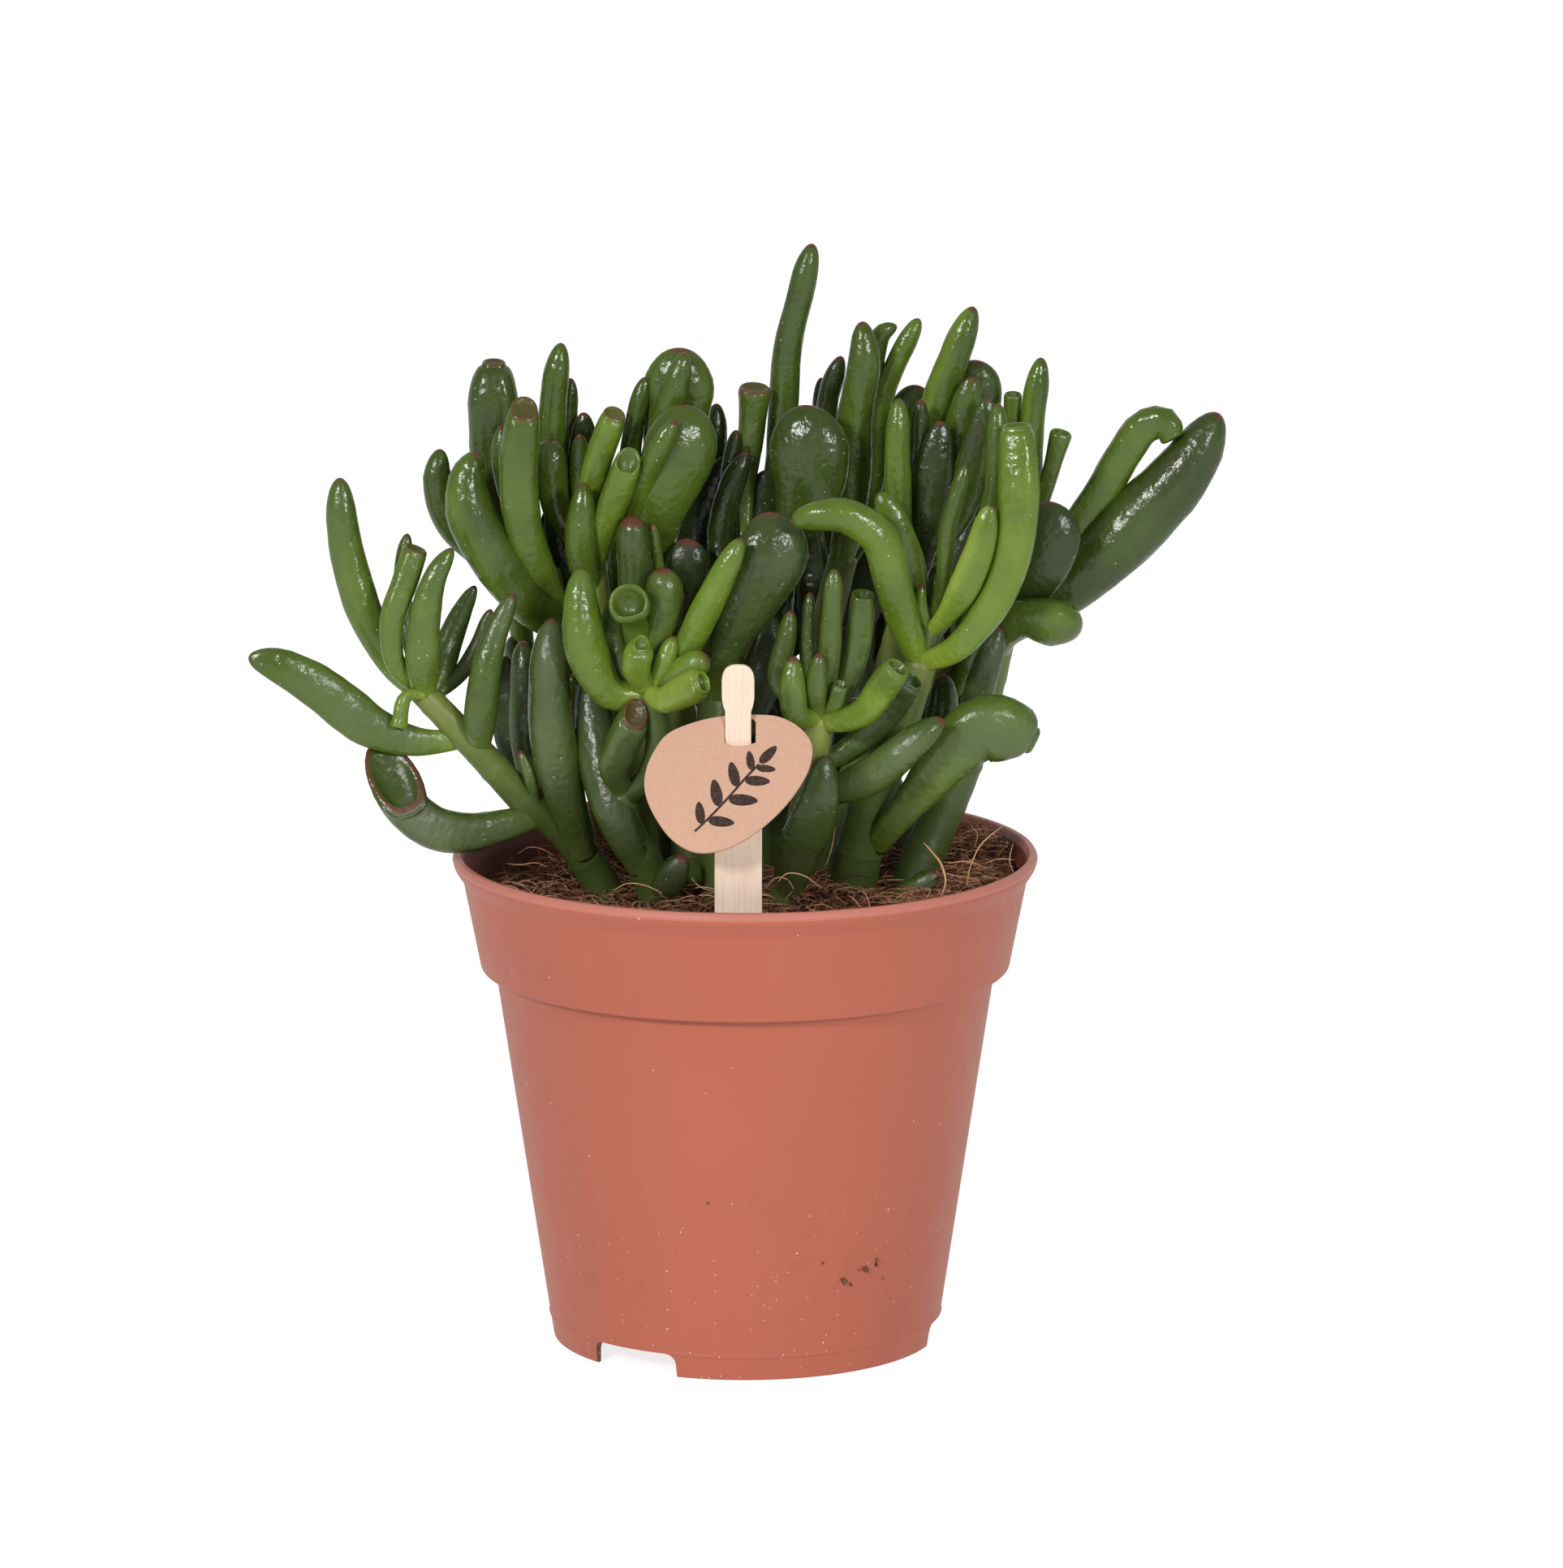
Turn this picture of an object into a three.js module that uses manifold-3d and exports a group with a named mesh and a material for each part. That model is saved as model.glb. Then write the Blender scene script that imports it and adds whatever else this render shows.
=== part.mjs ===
// A potted hobbit jade: a crassula with finger, trumpet and paddle leaves on several stems,
// in coir, in a 12 cm plastic nursery pot, with a wooden label stick and a card threaded on it.
// Millimetres, +Z up, the origin at the middle of the pot's foot, the front towards -Y.
import * as THREE from 'three';
import { mergeVertices } from 'three/addons/utils/BufferGeometryUtils.js';
import Module from 'manifold-3d';

const wasm = await Module();
wasm.setup();

const RIM_RADIUS = 60;
const POT_HEIGHT = 101.6;
const WALL = 1.2;
const FLOOR_HEIGHT = 6;
const POT_SEGMENTS = 32;
const GAP = 0.35;
const SLIVER = 0.15;

const NOTCH_HEIGHT = 5;
const NOTCH_WIDTH = 20;
const NOTCH_ANGLES = [-35, 85, 205];
const DRAIN_HOLES = 8;
const DRAIN_RADIUS = 3.5;
const DRAIN_CIRCLE = 27;

const SOIL_HEIGHT = 93.5;
const SOIL_RINGS = [18, 37];

const STICK_FACE = -47.4;
const STICK_THICKNESS = 1.2;
const STICK_WIDTH = 9.5;
const STICK_CENTRE = -1.2;
const STICK_BOTTOM = 64;
const STICK_SHOULDER = 132;
const STICK_NECK_WIDTH = 5.2;
const STICK_NECK_TOP = 140.2;
const STICK_HEAD_WIDTH = 6.5;
const STICK_TOP = 149.6;

const CARD_THICKNESS = 1;
const CARD_TILT = 28;
const SLOT_WIDTH = 7;
const SLOT_HEIGHT = 5.7;
const SLOT_MIDDLE = 135.7;

const VIEW_DISTANCE = 2000;
const VIEW_TILT = THREE.MathUtils.degToRad(11.8);
const AIM = { x: 7.45, z: 115.5, across: 7.44, up: 111.74 };

// Plain helpers

// A closed mesh as a solid. A lathe's triangles at the axis have no area, and are left out
function solid(geometry) {
  const bare = geometry.clone();
  bare.deleteAttribute('normal');
  bare.deleteAttribute('uv');
  const merged = mergeVertices(bare, 1e-4);
  const corners = merged.index.array;
  const kept = [];
  for (let i = 0; i < corners.length; i += 3) {
    const [a, b, c] = corners.slice(i, i + 3);
    if (a !== b && b !== c && c !== a) kept.push(a, b, c);
  }
  const vertProperties = Float32Array.from(merged.attributes.position.array);
  const triVerts = Uint32Array.from(kept);
  return new wasm.Manifold(new wasm.Mesh({ numProp: 3, vertProperties, triVerts }));
}

function geometryOf(body) {
  const mesh = body.getMesh();
  const geometry = new THREE.BufferGeometry();
  geometry.setAttribute('position', new THREE.BufferAttribute(Float32Array.from(mesh.vertProperties), 3));
  geometry.setIndex(new THREE.BufferAttribute(Uint32Array.from(mesh.triVerts), 1));
  geometry.computeVertexNormals();
  return geometry;
}

function largestPiece(body) {
  const pieces = body.decompose();
  pieces.sort((a, b) => b.volume() - a.volume());
  return pieces[0];
}

function finish(colour, roughness) {
  return new THREE.MeshStandardMaterial({ color: colour, roughness, metalness: 0, flatShading: true });
}

function named(name, body, material) {
  const mesh = new THREE.Mesh(geometryOf(body), material);
  mesh.name = name;
  return mesh;
}

// A row of rings, each a list of points, closed at both ends by a middle point
function ringsGeometry(start, rings, end) {
  const sides = rings[0].length;
  const points = [start, ...rings.flat(), end];
  const last = points.length - 1;
  const faces = [];
  for (let side = 0; side < sides; side += 1) {
    const next = (side + 1) % sides;
    faces.push(0, 1 + next, 1 + side);
    faces.push(last, last - sides + side, last - sides + next);
    for (let ring = 0; ring + 1 < rings.length; ring += 1) {
      const low = 1 + ring * sides;
      const high = low + sides;
      faces.push(low + side, low + next, high + next);
      faces.push(low + side, high + next, high + side);
    }
  }
  const geometry = new THREE.BufferGeometry().setFromPoints(points);
  geometry.setIndex(faces);
  return geometry;
}

// The pot: a thin turned wall with a deep collar, a rolled rim and a raised floor.
// Radius and height of the inner wall, from the floor to the rim
const INNER_WALL = [[39.7, 8.2], [50, 77.8], [53.6, 81.4], [56.5, 96.2], [57.6, 99.8]];

function potBody() {
  const outline = [
    [0, FLOOR_HEIGHT], [38.4, FLOOR_HEIGHT], [38.4, 0], [39.6, 0], [40.4, 5.2],
    [51.3, 77.4], [52.6, 77.7], [54.2, 79.1], [55, 81.4], [57.8, 96.2], [59.5, 99.2], [RIM_RADIUS, 100.4],
    [59.5, 101.4], [58.7, POT_HEIGHT], ...INNER_WALL.slice().reverse(),
    [38.9, FLOOR_HEIGHT + WALL], [0, FLOOR_HEIGHT + WALL],
  ];
  const profile = outline.map(([radius, height]) => new THREE.Vector2(radius, height));
  return solid(new THREE.LatheGeometry(profile, POT_SEGMENTS).rotateX(Math.PI / 2));
}

// A foot notch with rounded upper corners, cut from the middle outwards
function notchCutter(angle) {
  const half = NOTCH_WIDTH / 2;
  const corner = 2;
  const outline = new THREE.Shape();
  outline.moveTo(-half, -1);
  outline.lineTo(half, -1);
  outline.lineTo(half, NOTCH_HEIGHT - corner);
  outline.quadraticCurveTo(half, NOTCH_HEIGHT, half - corner, NOTCH_HEIGHT);
  outline.lineTo(corner - half, NOTCH_HEIGHT);
  outline.quadraticCurveTo(-half, NOTCH_HEIGHT, -half, NOTCH_HEIGHT - corner);
  outline.closePath();
  const length = RIM_RADIUS - 20;
  const block = new THREE.ExtrudeGeometry(outline, { depth: length, bevelEnabled: false, curveSegments: 3 });
  block.rotateX(Math.PI / 2).translate(0, -20, 0);
  return solid(block.rotateZ(THREE.MathUtils.degToRad(angle)));
}

function makePot() {
  let pot = potBody();
  for (const angle of NOTCH_ANGLES) pot = pot.subtract(notchCutter(angle));
  for (let hole = 0; hole < DRAIN_HOLES; hole += 1) {
    const angle = (hole / DRAIN_HOLES) * 2 * Math.PI;
    const drill = new THREE.CylinderGeometry(DRAIN_RADIUS, DRAIN_RADIUS, 4, 10).rotateX(Math.PI / 2);
    drill.translate(DRAIN_CIRCLE * Math.cos(angle), DRAIN_CIRCLE * Math.sin(angle), FLOOR_HEIGHT);
    pot = pot.subtract(solid(drill));
  }
  return pot;
}

// The coir: it fills the pot, with an uneven top that is higher on the right
function soilTop(x, y) {
  const mounds = 1.1 * Math.sin(x / 9 + 1) * Math.cos(y / 11) + 0.8 * Math.sin(x / 5 + y / 7);
  return SOIL_HEIGHT + 0.05 * x + mounds;
}

function wallRadius(height) {
  for (let i = 0; i + 1 < INNER_WALL.length; i += 1) {
    const [lowRadius, low] = INNER_WALL[i];
    const [highRadius, high] = INNER_WALL[i + 1];
    if (height <= high) return lowRadius + ((height - low) / (high - low)) * (highRadius - lowRadius);
  }
  return INNER_WALL[INNER_WALL.length - 1][0];
}

// The turn of each corner matches the pot's own facets
function ringAt(radius, heightAt) {
  const ring = [];
  for (let i = 0; i < POT_SEGMENTS; i += 1) {
    const angle = Math.PI / 2 + (i / POT_SEGMENTS) * 2 * Math.PI;
    const x = radius * Math.cos(angle);
    const y = radius * Math.sin(angle);
    ring.push(new THREE.Vector3(x, y, heightAt(x, y)));
  }
  return ring;
}

function soilBody() {
  const floor = FLOOR_HEIGHT + WALL + GAP;
  const rings = [ringAt(38.4, () => floor)];
  for (const [radius, height] of INNER_WALL.slice(0, 3)) rings.push(ringAt(radius - 0.4, () => height));
  rings.push(ringAt(1, () => 0).map((direction) => {
    const top = soilTop(direction.x * 54, direction.y * 54);
    const radius = wallRadius(top) - 0.4;
    return new THREE.Vector3(direction.x * radius, direction.y * radius, top);
  }));
  for (const radius of SOIL_RINGS.slice().reverse()) rings.push(ringAt(radius, soilTop));
  const bottom = new THREE.Vector3(0, 0, floor);
  return solid(ringsGeometry(bottom, rings, new THREE.Vector3(0, 0, soilTop(0, 0))));
}

// The label stick: flat wood with a narrow neck under its round head, pushed into the coir
function stickOutline(margin) {
  const low = STICK_WIDTH / 2 + margin;
  const neck = STICK_NECK_WIDTH / 2 + margin;
  const head = STICK_HEAD_WIDTH / 2 + margin;
  const outline = new THREE.Shape();
  outline.moveTo(-low, STICK_BOTTOM - margin);
  outline.lineTo(low, STICK_BOTTOM - margin);
  outline.lineTo(low, STICK_SHOULDER - 4);
  outline.quadraticCurveTo(low, STICK_SHOULDER, neck, STICK_SHOULDER);
  outline.lineTo(neck, STICK_NECK_TOP);
  outline.quadraticCurveTo(head, STICK_NECK_TOP + 1.5, head, STICK_NECK_TOP + 3.5);
  outline.lineTo(head, STICK_TOP - 3);
  outline.quadraticCurveTo(head, STICK_TOP, 0, STICK_TOP + margin);
  outline.quadraticCurveTo(-head, STICK_TOP, -head, STICK_TOP - 3);
  outline.lineTo(-head, STICK_NECK_TOP + 3.5);
  outline.quadraticCurveTo(-head, STICK_NECK_TOP + 1.5, -neck, STICK_NECK_TOP);
  outline.lineTo(-neck, STICK_SHOULDER);
  outline.quadraticCurveTo(-low, STICK_SHOULDER, -low, STICK_SHOULDER - 4);
  outline.closePath();
  return outline;
}

function stickBody(margin) {
  const depth = STICK_THICKNESS + 2 * margin;
  const options = { depth, bevelEnabled: false, curveSegments: 5 };
  const plate = new THREE.ExtrudeGeometry(stickOutline(margin), options).rotateX(Math.PI / 2);
  return solid(plate.translate(STICK_CENTRE, STICK_FACE + STICK_THICKNESS + margin, 0));
}

// The card: a rounded pebble outline with a slot that the stick's neck passes through.
// Across and up from the middle of the slot
const CARD_OUTLINE = [
  [-14.2, -0.4], [-8.8, 2.1], [-3, 3.4], [3, 3.7], [8.3, 3.2], [12.6, 0.7], [14.7, -2.6],
  [14.3, -7.1], [11.2, -12.9], [7, -17.8], [1, -22.5], [-4, -24.6], [-8.6, -24.8], [-13, -22.3],
  [-16.8, -17], [-18.6, -12], [-18.3, -7.6], [-16.6, -3.6],
];

function cardBody() {
  const corners = CARD_OUTLINE.map(([across, up]) => new THREE.Vector3(across, up, 0));
  const edge = new THREE.CatmullRomCurve3(corners, true).getPoints(2 * corners.length).slice(1);
  const outline = new THREE.Shape(edge.map((point) => new THREE.Vector2(point.x, point.y)));
  const slot = new THREE.Path();
  slot.moveTo(-SLOT_WIDTH / 2, -SLOT_HEIGHT / 2);
  slot.lineTo(SLOT_WIDTH / 2, -SLOT_HEIGHT / 2);
  slot.lineTo(SLOT_WIDTH / 2, SLOT_HEIGHT / 2);
  slot.lineTo(-SLOT_WIDTH / 2, SLOT_HEIGHT / 2);
  slot.closePath();
  outline.holes.push(slot);
  const options = { depth: CARD_THICKNESS, bevelEnabled: false };
  const plate = new THREE.ExtrudeGeometry(outline, options).translate(0, 0, -CARD_THICKNESS / 2);
  plate.rotateX(THREE.MathUtils.degToRad(90 - CARD_TILT));
  return solid(plate.translate(STICK_CENTRE, STICK_FACE + STICK_THICKNESS / 2, SLOT_MIDDLE));
}

// The plant. A leaf is a row of rings along a smooth path from inside its stem to its tip.
// Where a point of it shows from the front: across and up on an upright picture plane through
// the pot's axis, seen from 2 m away and a little above, and how far back it lies
function seen([across, up, back]) {
  const slope = (up - AIM.up) / VIEW_DISTANCE;
  const cosine = Math.cos(VIEW_TILT);
  const sine = Math.sin(VIEW_TILT);
  const rise = (slope * (VIEW_DISTANCE + back * cosine) - back * sine) / (cosine + slope * sine);
  const depth = VIEW_DISTANCE + back * cosine - rise * sine;
  return new THREE.Vector3(AIM.x + ((across - AIM.across) / VIEW_DISTANCE) * depth, back, AIM.z + rise);
}

const TO_VIEWER = new THREE.Vector3(0, -1, 0);

// Share of the path and share of the full width, up to where the tip starts to round.
// Flatness is the thickness against the width, and tip the length of the rounded end
const FINGER = { rows: [[0, 0.55], [0.25, 0.84], [0.5, 1], [0.8, 0.88]], flatness: 0.82, tip: 0.7 };
const HORN = { rows: [[0, 0.6], [0.25, 1], [0.55, 0.92], [0.8, 0.7]], flatness: 0.7, tip: 0.7 };
const BLADE = { rows: [[0, 0.4], [0.25, 0.7], [0.5, 1], [0.8, 0.88]], flatness: 0.46, tip: 0.7 };
const SPOON = { rows: [[0, 0.34], [0.3, 0.46], [0.58, 0.78], [0.8, 1]], flatness: 0.44, tip: 0.34 };
const STUB = { rows: [[0, 0.5], [0.25, 0.74], [0.55, 0.96], [0.8, 1]], flatness: 0.86, tip: 0.36 };
const CLUB = { rows: [[0, 0.36], [0.3, 0.5], [0.55, 0.76], [0.8, 1]], flatness: 0.74, tip: 0.36 };
const LAST_RING = 0.8;
const MOST_RINGS = 4;

// Share of the full width at a share of the path
function girth(rows, share) {
  const next = rows.findIndex(([place]) => place >= share - 1e-9);
  if (next === 0) return rows[0][1];
  const [low, lowGirth] = rows[next - 1];
  const [high, highGirth] = rows[next];
  return lowGirth + ((share - low) / (high - low)) * (highGirth - lowGirth);
}

function leafOf(form, width, path, more = {}) {
  return { ...form, width, path: path.map(seen), face: TO_VIEWER, ...more };
}

function finger(width, ...path) {
  return leafOf(FINGER, width, path);
}

function blade(width, ...path) {
  return leafOf(BLADE, width, path);
}

function spoon(width, ...path) {
  return leafOf(SPOON, width, path);
}

function horn(width, ...path) {
  return leafOf(HORN, width, path);
}

// Stubs and clubs are blunt, and a club swells towards its end
function stub(width, ...path) {
  return leafOf(STUB, width, path);
}

function club(width, ...path) {
  return leafOf(CLUB, width, path);
}

// A bulb is a club, and a cup a stub, that ends in a hollow mouth. The cup's rim leans towards
// the viewer
function bulb(width, mouth, ...path) {
  return leafOf(CLUB, width, path, { mouth, lean: 0 });
}

function cup(width, mouth, lean, ...path) {
  return leafOf(STUB, width, path, { mouth, lean });
}

// A stem: a round tube from inside the coir, with its radius at the foot and at the top
function stem(foot, top, ...path) {
  return { foot, top, path: path.map(seen), face: TO_VIEWER };
}

// Points along a path, each with its direction and two cross directions that don't twist
function stations(path, face, shares) {
  const curve = new THREE.CatmullRomCurve3(path, false, 'centripetal');
  const facing = face.clone();
  return shares.map((share) => {
    const along = curve.getTangentAt(share);
    facing.addScaledVector(along, -facing.dot(along)).normalize();
    const side = new THREE.Vector3().crossVectors(facing, along);
    return { middle: curve.getPointAt(share), along, facing: facing.clone(), side };
  });
}

function ringOf(station, half, thick, sides, lean = 0) {
  const ring = [];
  for (let i = 0; i < sides; i += 1) {
    const angle = ((i + 0.5) / sides) * 2 * Math.PI;
    const across = half * Math.cos(angle);
    const out = thick * Math.sin(angle);
    const point = station.middle.clone().addScaledVector(station.side, across);
    ring.push(point.addScaledVector(station.facing, out).addScaledVector(station.along, -lean * out));
  }
  return ring;
}

// A leaf has a ring for each span of its path, and two more at its rounded tip or its mouth.
// A margin swells it, for the room that is kept around it
function leafBody(leaf, margin) {
  const length = new THREE.CatmullRomCurve3(leaf.path, false, 'centripetal').getLength();
  const half = leaf.width / 2;
  const sides = leaf.width < 5 ? 5 : 6;
  const spans = Math.min(leaf.path.length - 1, MOST_RINGS);
  const shares = Array.from({ length: spans }, (_, i) => (LAST_RING * i) / (spans - 1));
  const grown = (share) => half * share + margin;
  const thick = (share) => half * share * leaf.flatness + margin;
  const ring = (place, share, lean) => ringOf(place, grown(share), thick(share), sides, lean);
  const places = stations(leaf.path, leaf.face, shares);
  const rings = places.map((place, i) => ring(place, girth(leaf.rows, shares[i])));
  if (leaf.mouth) {
    const [rim] = stations(leaf.path, leaf.face, [...shares, 1]).slice(-1);
    const mouth = leaf.mouth / leaf.width;
    rings.push(ring(rim, mouth, leaf.lean));
    if (margin) return solid(ringsGeometry(places[0].middle, rings, rim.middle));
    const sunk = { ...rim, middle: rim.middle.clone().addScaledVector(rim.along, -0.34 * leaf.mouth) };
    rings.push(ring(sunk, 0.55 * mouth, leaf.lean));
    return solid(ringsGeometry(places[0].middle, rings, sunk.middle));
  }
  const round = Math.min((leaf.tip * leaf.width) / length, 0.18);
  const ends = stations(leaf.path, leaf.face, [...shares, 1 - round, 1 - 0.15 * round, 1]).slice(-3);
  const last = girth(leaf.rows, LAST_RING);
  rings.push(ring(ends[0], 0.88 * last), ring(ends[1], 0.38 * last));
  const tip = ends[2].middle.addScaledVector(ends[2].along, margin);
  return solid(ringsGeometry(places[0].middle, rings, tip));
}

function stemBody(shape, margin) {
  const steps = shape.path.length + 1;
  const shares = Array.from({ length: steps + 1 }, (_, i) => i / steps);
  const places = stations(shape.path, shape.face, shares);
  const rings = places.map((place, i) => {
    const radius = shape.foot + (shape.top - shape.foot) * shares[i] + margin;
    return ringOf(place, radius, radius, 6);
  });
  const first = places[0];
  const last = places[steps];
  const foot = first.middle.clone().addScaledVector(first.along, -0.5 * shape.foot - margin);
  const top = last.middle.clone().addScaledVector(last.along, 0.6 * shape.top + margin);
  return solid(ringsGeometry(foot, rings, top));
}

function shootBody(shoot, margin = 0) {
  const stems = shoot.stems.map((shape) => stemBody(shape, margin));
  const leaves = shoot.leaves.map((leaf) => leafBody(leaf, margin));
  return wasm.Manifold.union([...stems, ...leaves]).simplify(SLIVER);
}

// Every shoot: its stems from the coir up, then its leaves, each from inside the stem outwards

const SHOOTS = [
  {
    name: 'shoot_left',
    colour: 0x5b7d33,
    stems: [
      stem(4.2, 2.7, [-22, 72, 4], [-30, 92, 2], [-37, 102, -1], [-44, 107.5, -4], [-56, 120, -9],
        [-66, 130.5, -10]),
    ],
    leaves: [
      finger(9.4, [-33, 97, -1], [-36.5, 108, -8], [-39.5, 122, -11], [-40, 134, -12], [-39.5, 145.8, -11]),
      finger(7, [-42, 106, 0], [-44.5, 118, 4], [-45, 130, 5], [-45.5, 141, 6]),
      blade(6.4, [-45, 109, 2], [-48, 120, 8], [-49, 130, 9], [-49, 138, 10]),
      finger(2.8, [-42.5, 107.5, -5], [-44, 113, -8.5], [-46, 118.6, -8.5]),
      cup(9, 10.6, 1.5, [-41, 105.5, -3], [-49, 103.4, -7], [-57, 101.8, -10], [-64, 103, -13],
        [-69.4, 107.2, -14], [-71.7, 112.6, -14]),
      blade(9.4, [-57, 121, -9], [-67, 120.4, -11], [-76, 123.2, -13], [-86, 130.6, -15],
        [-94.5, 135.6, -16], [-101.6, 137.8, -17]),
      cup(3.2, 3.8, 0, [-65, 130, -12], [-69.4, 129.6, -14], [-70.9, 123.4, -15]),
      finger(7.6, [-66, 130, -7], [-72, 136, -5], [-77.5, 146, -4], [-81, 157, -3], [-82.5, 166, -3],
        [-83, 174.4, -3]),
      finger(3.8, [-66, 131, -5], [-69.5, 145, 0], [-70.2, 155, 0], [-69.1, 163, 0]),
      cup(5.4, 5, 0.3, [-66, 130.5, -9], [-71.4, 136, -13], [-72.3, 145, -14], [-69.6, 153, -13],
        [-67.4, 159.8, -12]),
      horn(7, [-65.5, 129.5, -10], [-66, 137, -15], [-65.5, 146, -16], [-63.5, 154, -16],
        [-59.9, 160, -15]),
      horn(5.8, [-64.2, 129.6, -7.4], [-61, 139.5, -2], [-58, 147, -1], [-55.2, 152.3, -1]),
      finger(3.6, [-63.5, 129.5, -8], [-58.4, 134.2, -4], [-55, 139.5, -3], [-52, 147.5, -3]),
      horn(6.6, [-54.5, 118.5, -8], [-54.3, 124, -14], [-53.4, 133, -15], [-51.2, 142, -14],
        [-47.4, 150.8, -13]),
    ],
  },
  {
    name: 'shoot_left_rosette',
    colour: 0x62873a,
    stems: [
      stem(4.6, 3.4, [-13, 72, -6], [-19, 92, -9], [-24.5, 103, -12], [-25.5, 110, -13]),
      stem(2.6, 2.6, [-25, 109, -13], [-20, 113, -15], [-17.8, 120, -17], [-19.5, 130.5, -18]),
    ],
    leaves: [
      finger(9.4, [-21, 94, -11], [-25.5, 103, -14], [-29, 114, -11], [-31, 124, -8], [-32.4, 134, -6]),
      finger(6.6, [-18, 88, -9], [-15.5, 92, -14], [-12.5, 97, -17]),
      cup(7.4, 5.8, 1, [-24, 109.5, -13], [-26.8, 114.5, -18], [-25, 120, -20], [-22.4, 126, -22]),
      finger(8.8, [-20, 129.5, -17], [-27.5, 130.5, -18], [-32.4, 139, -19], [-33.6, 148, -19],
        [-33.7, 156, -18]),
      cup(6.2, 3.8, 0.8, [-20, 131, -19], [-22.2, 135.5, -23], [-21.2, 140.4, -25]),
      finger(4.4, [-19, 131.5, -19], [-16.8, 136, -20], [-14.5, 142, -20]),
      cup(7, 5, 0, [-20, 130.5, -19], [-16.6, 129, -23], [-12.6, 130.8, -26], [-8.6, 132.6, -29]),
      stub(6.4, [-18.5, 131, -17], [-13, 134.6, -21], [-7.6, 137.6, -24]),
      blade(5.4, [-20.5, 130, -16], [-25, 135.5, -16], [-27.4, 142, -14], [-27.4, 149, -12]),
      cup(5.6, 8.8, 0.5, [-20, 131, -16], [-21.6, 139, -16], [-22.6, 144.8, -18.5], [-23.8, 148.8, -24]),
      stub(7.6, [-19.3, 131, -15], [-18.4, 140, -15], [-16.4, 148, -16], [-17, 156, -17]),
      stub(7, [-20.5, 131, -13], [-22.4, 146, -10], [-22.6, 158, -11], [-23.2, 166.6, -12]),
      finger(2.8, [-18.6, 131, -13], [-17, 150, -8], [-18, 158, -9], [-18.9, 165, -10]),
      finger(6.2, [-18.5, 130, -15], [-12.4, 139, -18], [-8, 147.5, -21.5], [-3.8, 156, -24],
        [-0.7, 162, -24]),
    ],
  },
  {
    name: 'shoot_left_middle',
    colour: 0x557a2c,
    stems: [
      stem(4.2, 3, [-12, 72, 12], [-20, 112, 8], [-28, 135, 3], [-31, 152, 0], [-32, 162, 0]),
    ],
    leaves: [
      finger(6.6, [-31, 150, 0], [-33.4, 158, -5], [-33.5, 166, -7], [-33.1, 173.4, -7]),
      cup(6.2, 5.6, 1, [-31, 155, -1], [-29, 163, -5], [-26.3, 171, -9], [-24, 177.6, -12]),
      cup(5.8, 4.8, 0.5, [-32, 160, 1], [-32, 170, 0], [-29.8, 179, -1], [-26.7, 187.4, -2]),
      stub(6.8, [-32, 158, 3], [-38, 167, 5], [-39.6, 175, 4], [-40, 182.4, 4]),
      blade(4.6, [-32, 162, 3], [-33.6, 173, 5], [-33.9, 183.4, 4]),
      blade(7, [-32, 160, 4], [-33, 176, 10], [-33, 187.8, 10]),
      finger(6.2, [-32, 156, 3], [-38.6, 172, 9], [-39.5, 185, 9], [-38.8, 194, 8], [-37.6, 202, 8]),
      blade(7, [-31, 148, 3], [-37.4, 156, 8], [-39.2, 164, 9], [-38.6, 170, 9]),
      finger(4, [-32, 161, 5], [-36, 180, 13], [-35.7, 194.8, 13]),
    ],
  },
  {
    name: 'shoot_upper_left',
    colour: 0x4f7330,
    stems: [
      stem(4.2, 3.2, [-7, 72, 22], [-16, 108, 21], [-28, 130, 17], [-37, 146, 9], [-41, 155, 7]),
    ],
    leaves: [
      finger(11, [-36, 143, 8], [-43.5, 148.5, 0], [-50.6, 157.5, -4], [-55.8, 166, -6], [-57, 173, -6],
        [-55, 179.8, -6]),
      cup(8, 6, 0.8, [-38, 147, 7], [-41.6, 155, -3], [-45.4, 165, -7], [-46.4, 177, -9],
        [-45.2, 188.4, -11]),
      cup(10.4, 5, 0.2, [-39, 150, 9], [-45, 161, 10], [-50.4, 175, 9], [-51.6, 188, 8], [-51.4, 198, 8]),
      finger(7.2, [-40, 152, 8], [-52, 158, 7], [-60.4, 166, 5], [-63, 173.4, 4], [-62.4, 180.3, 4]),
      finger(4.8, [-41, 154, 6], [-47, 168, 1], [-49.8, 178, 0], [-49.7, 185.2, 0]),
    ],
  },
  {
    name: 'shoot_centre_left',
    colour: 0x587c2a,
    stems: [
      stem(4.4, 3, [-7, 72, 7], [-11, 97, 2], [-13, 120, 4], [-15, 140, 5], [-17.5, 157, 4]),
    ],
    leaves: [
      spoon(15.4, [-17.3, 151, 4], [-18.2, 160, -2], [-16.4, 169.6, -5], [-13.2, 180, -6],
        [-12, 189.4, -5]),
      finger(5.6, [-17.5, 155, 3], [-23, 164.6, -2], [-21, 173, -6.5], [-17.4, 180.4, -10.5],
        [-14.3, 186.3, -11]),
      spoon(15, [-17.5, 155, 5], [-17, 172, 8], [-14.4, 186, 6], [-13, 201, 5]),
      finger(6.6, [-17.5, 156, 5], [-18.4, 176, 2.5], [-15.6, 188, 1], [-12.3, 200, 0]),
      finger(4.6, [-18, 156, 5], [-23.4, 172, 5], [-22.9, 184, 4], [-20.4, 195, 4]),
      spoon(10, [-15, 141, 4], [-12.8, 150, -3], [-11.6, 161.9, -4]),
      blade(8, [-16, 150, 5], [-9, 165, 12], [-3.5, 179, 12]),
      finger(6, [-15.4, 146, 5], [-10.4, 165, 16], [-6.6, 180, 17], [-5.8, 189.6, 17]),
    ],
  },
  {
    name: 'shoot_centre',
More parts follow.
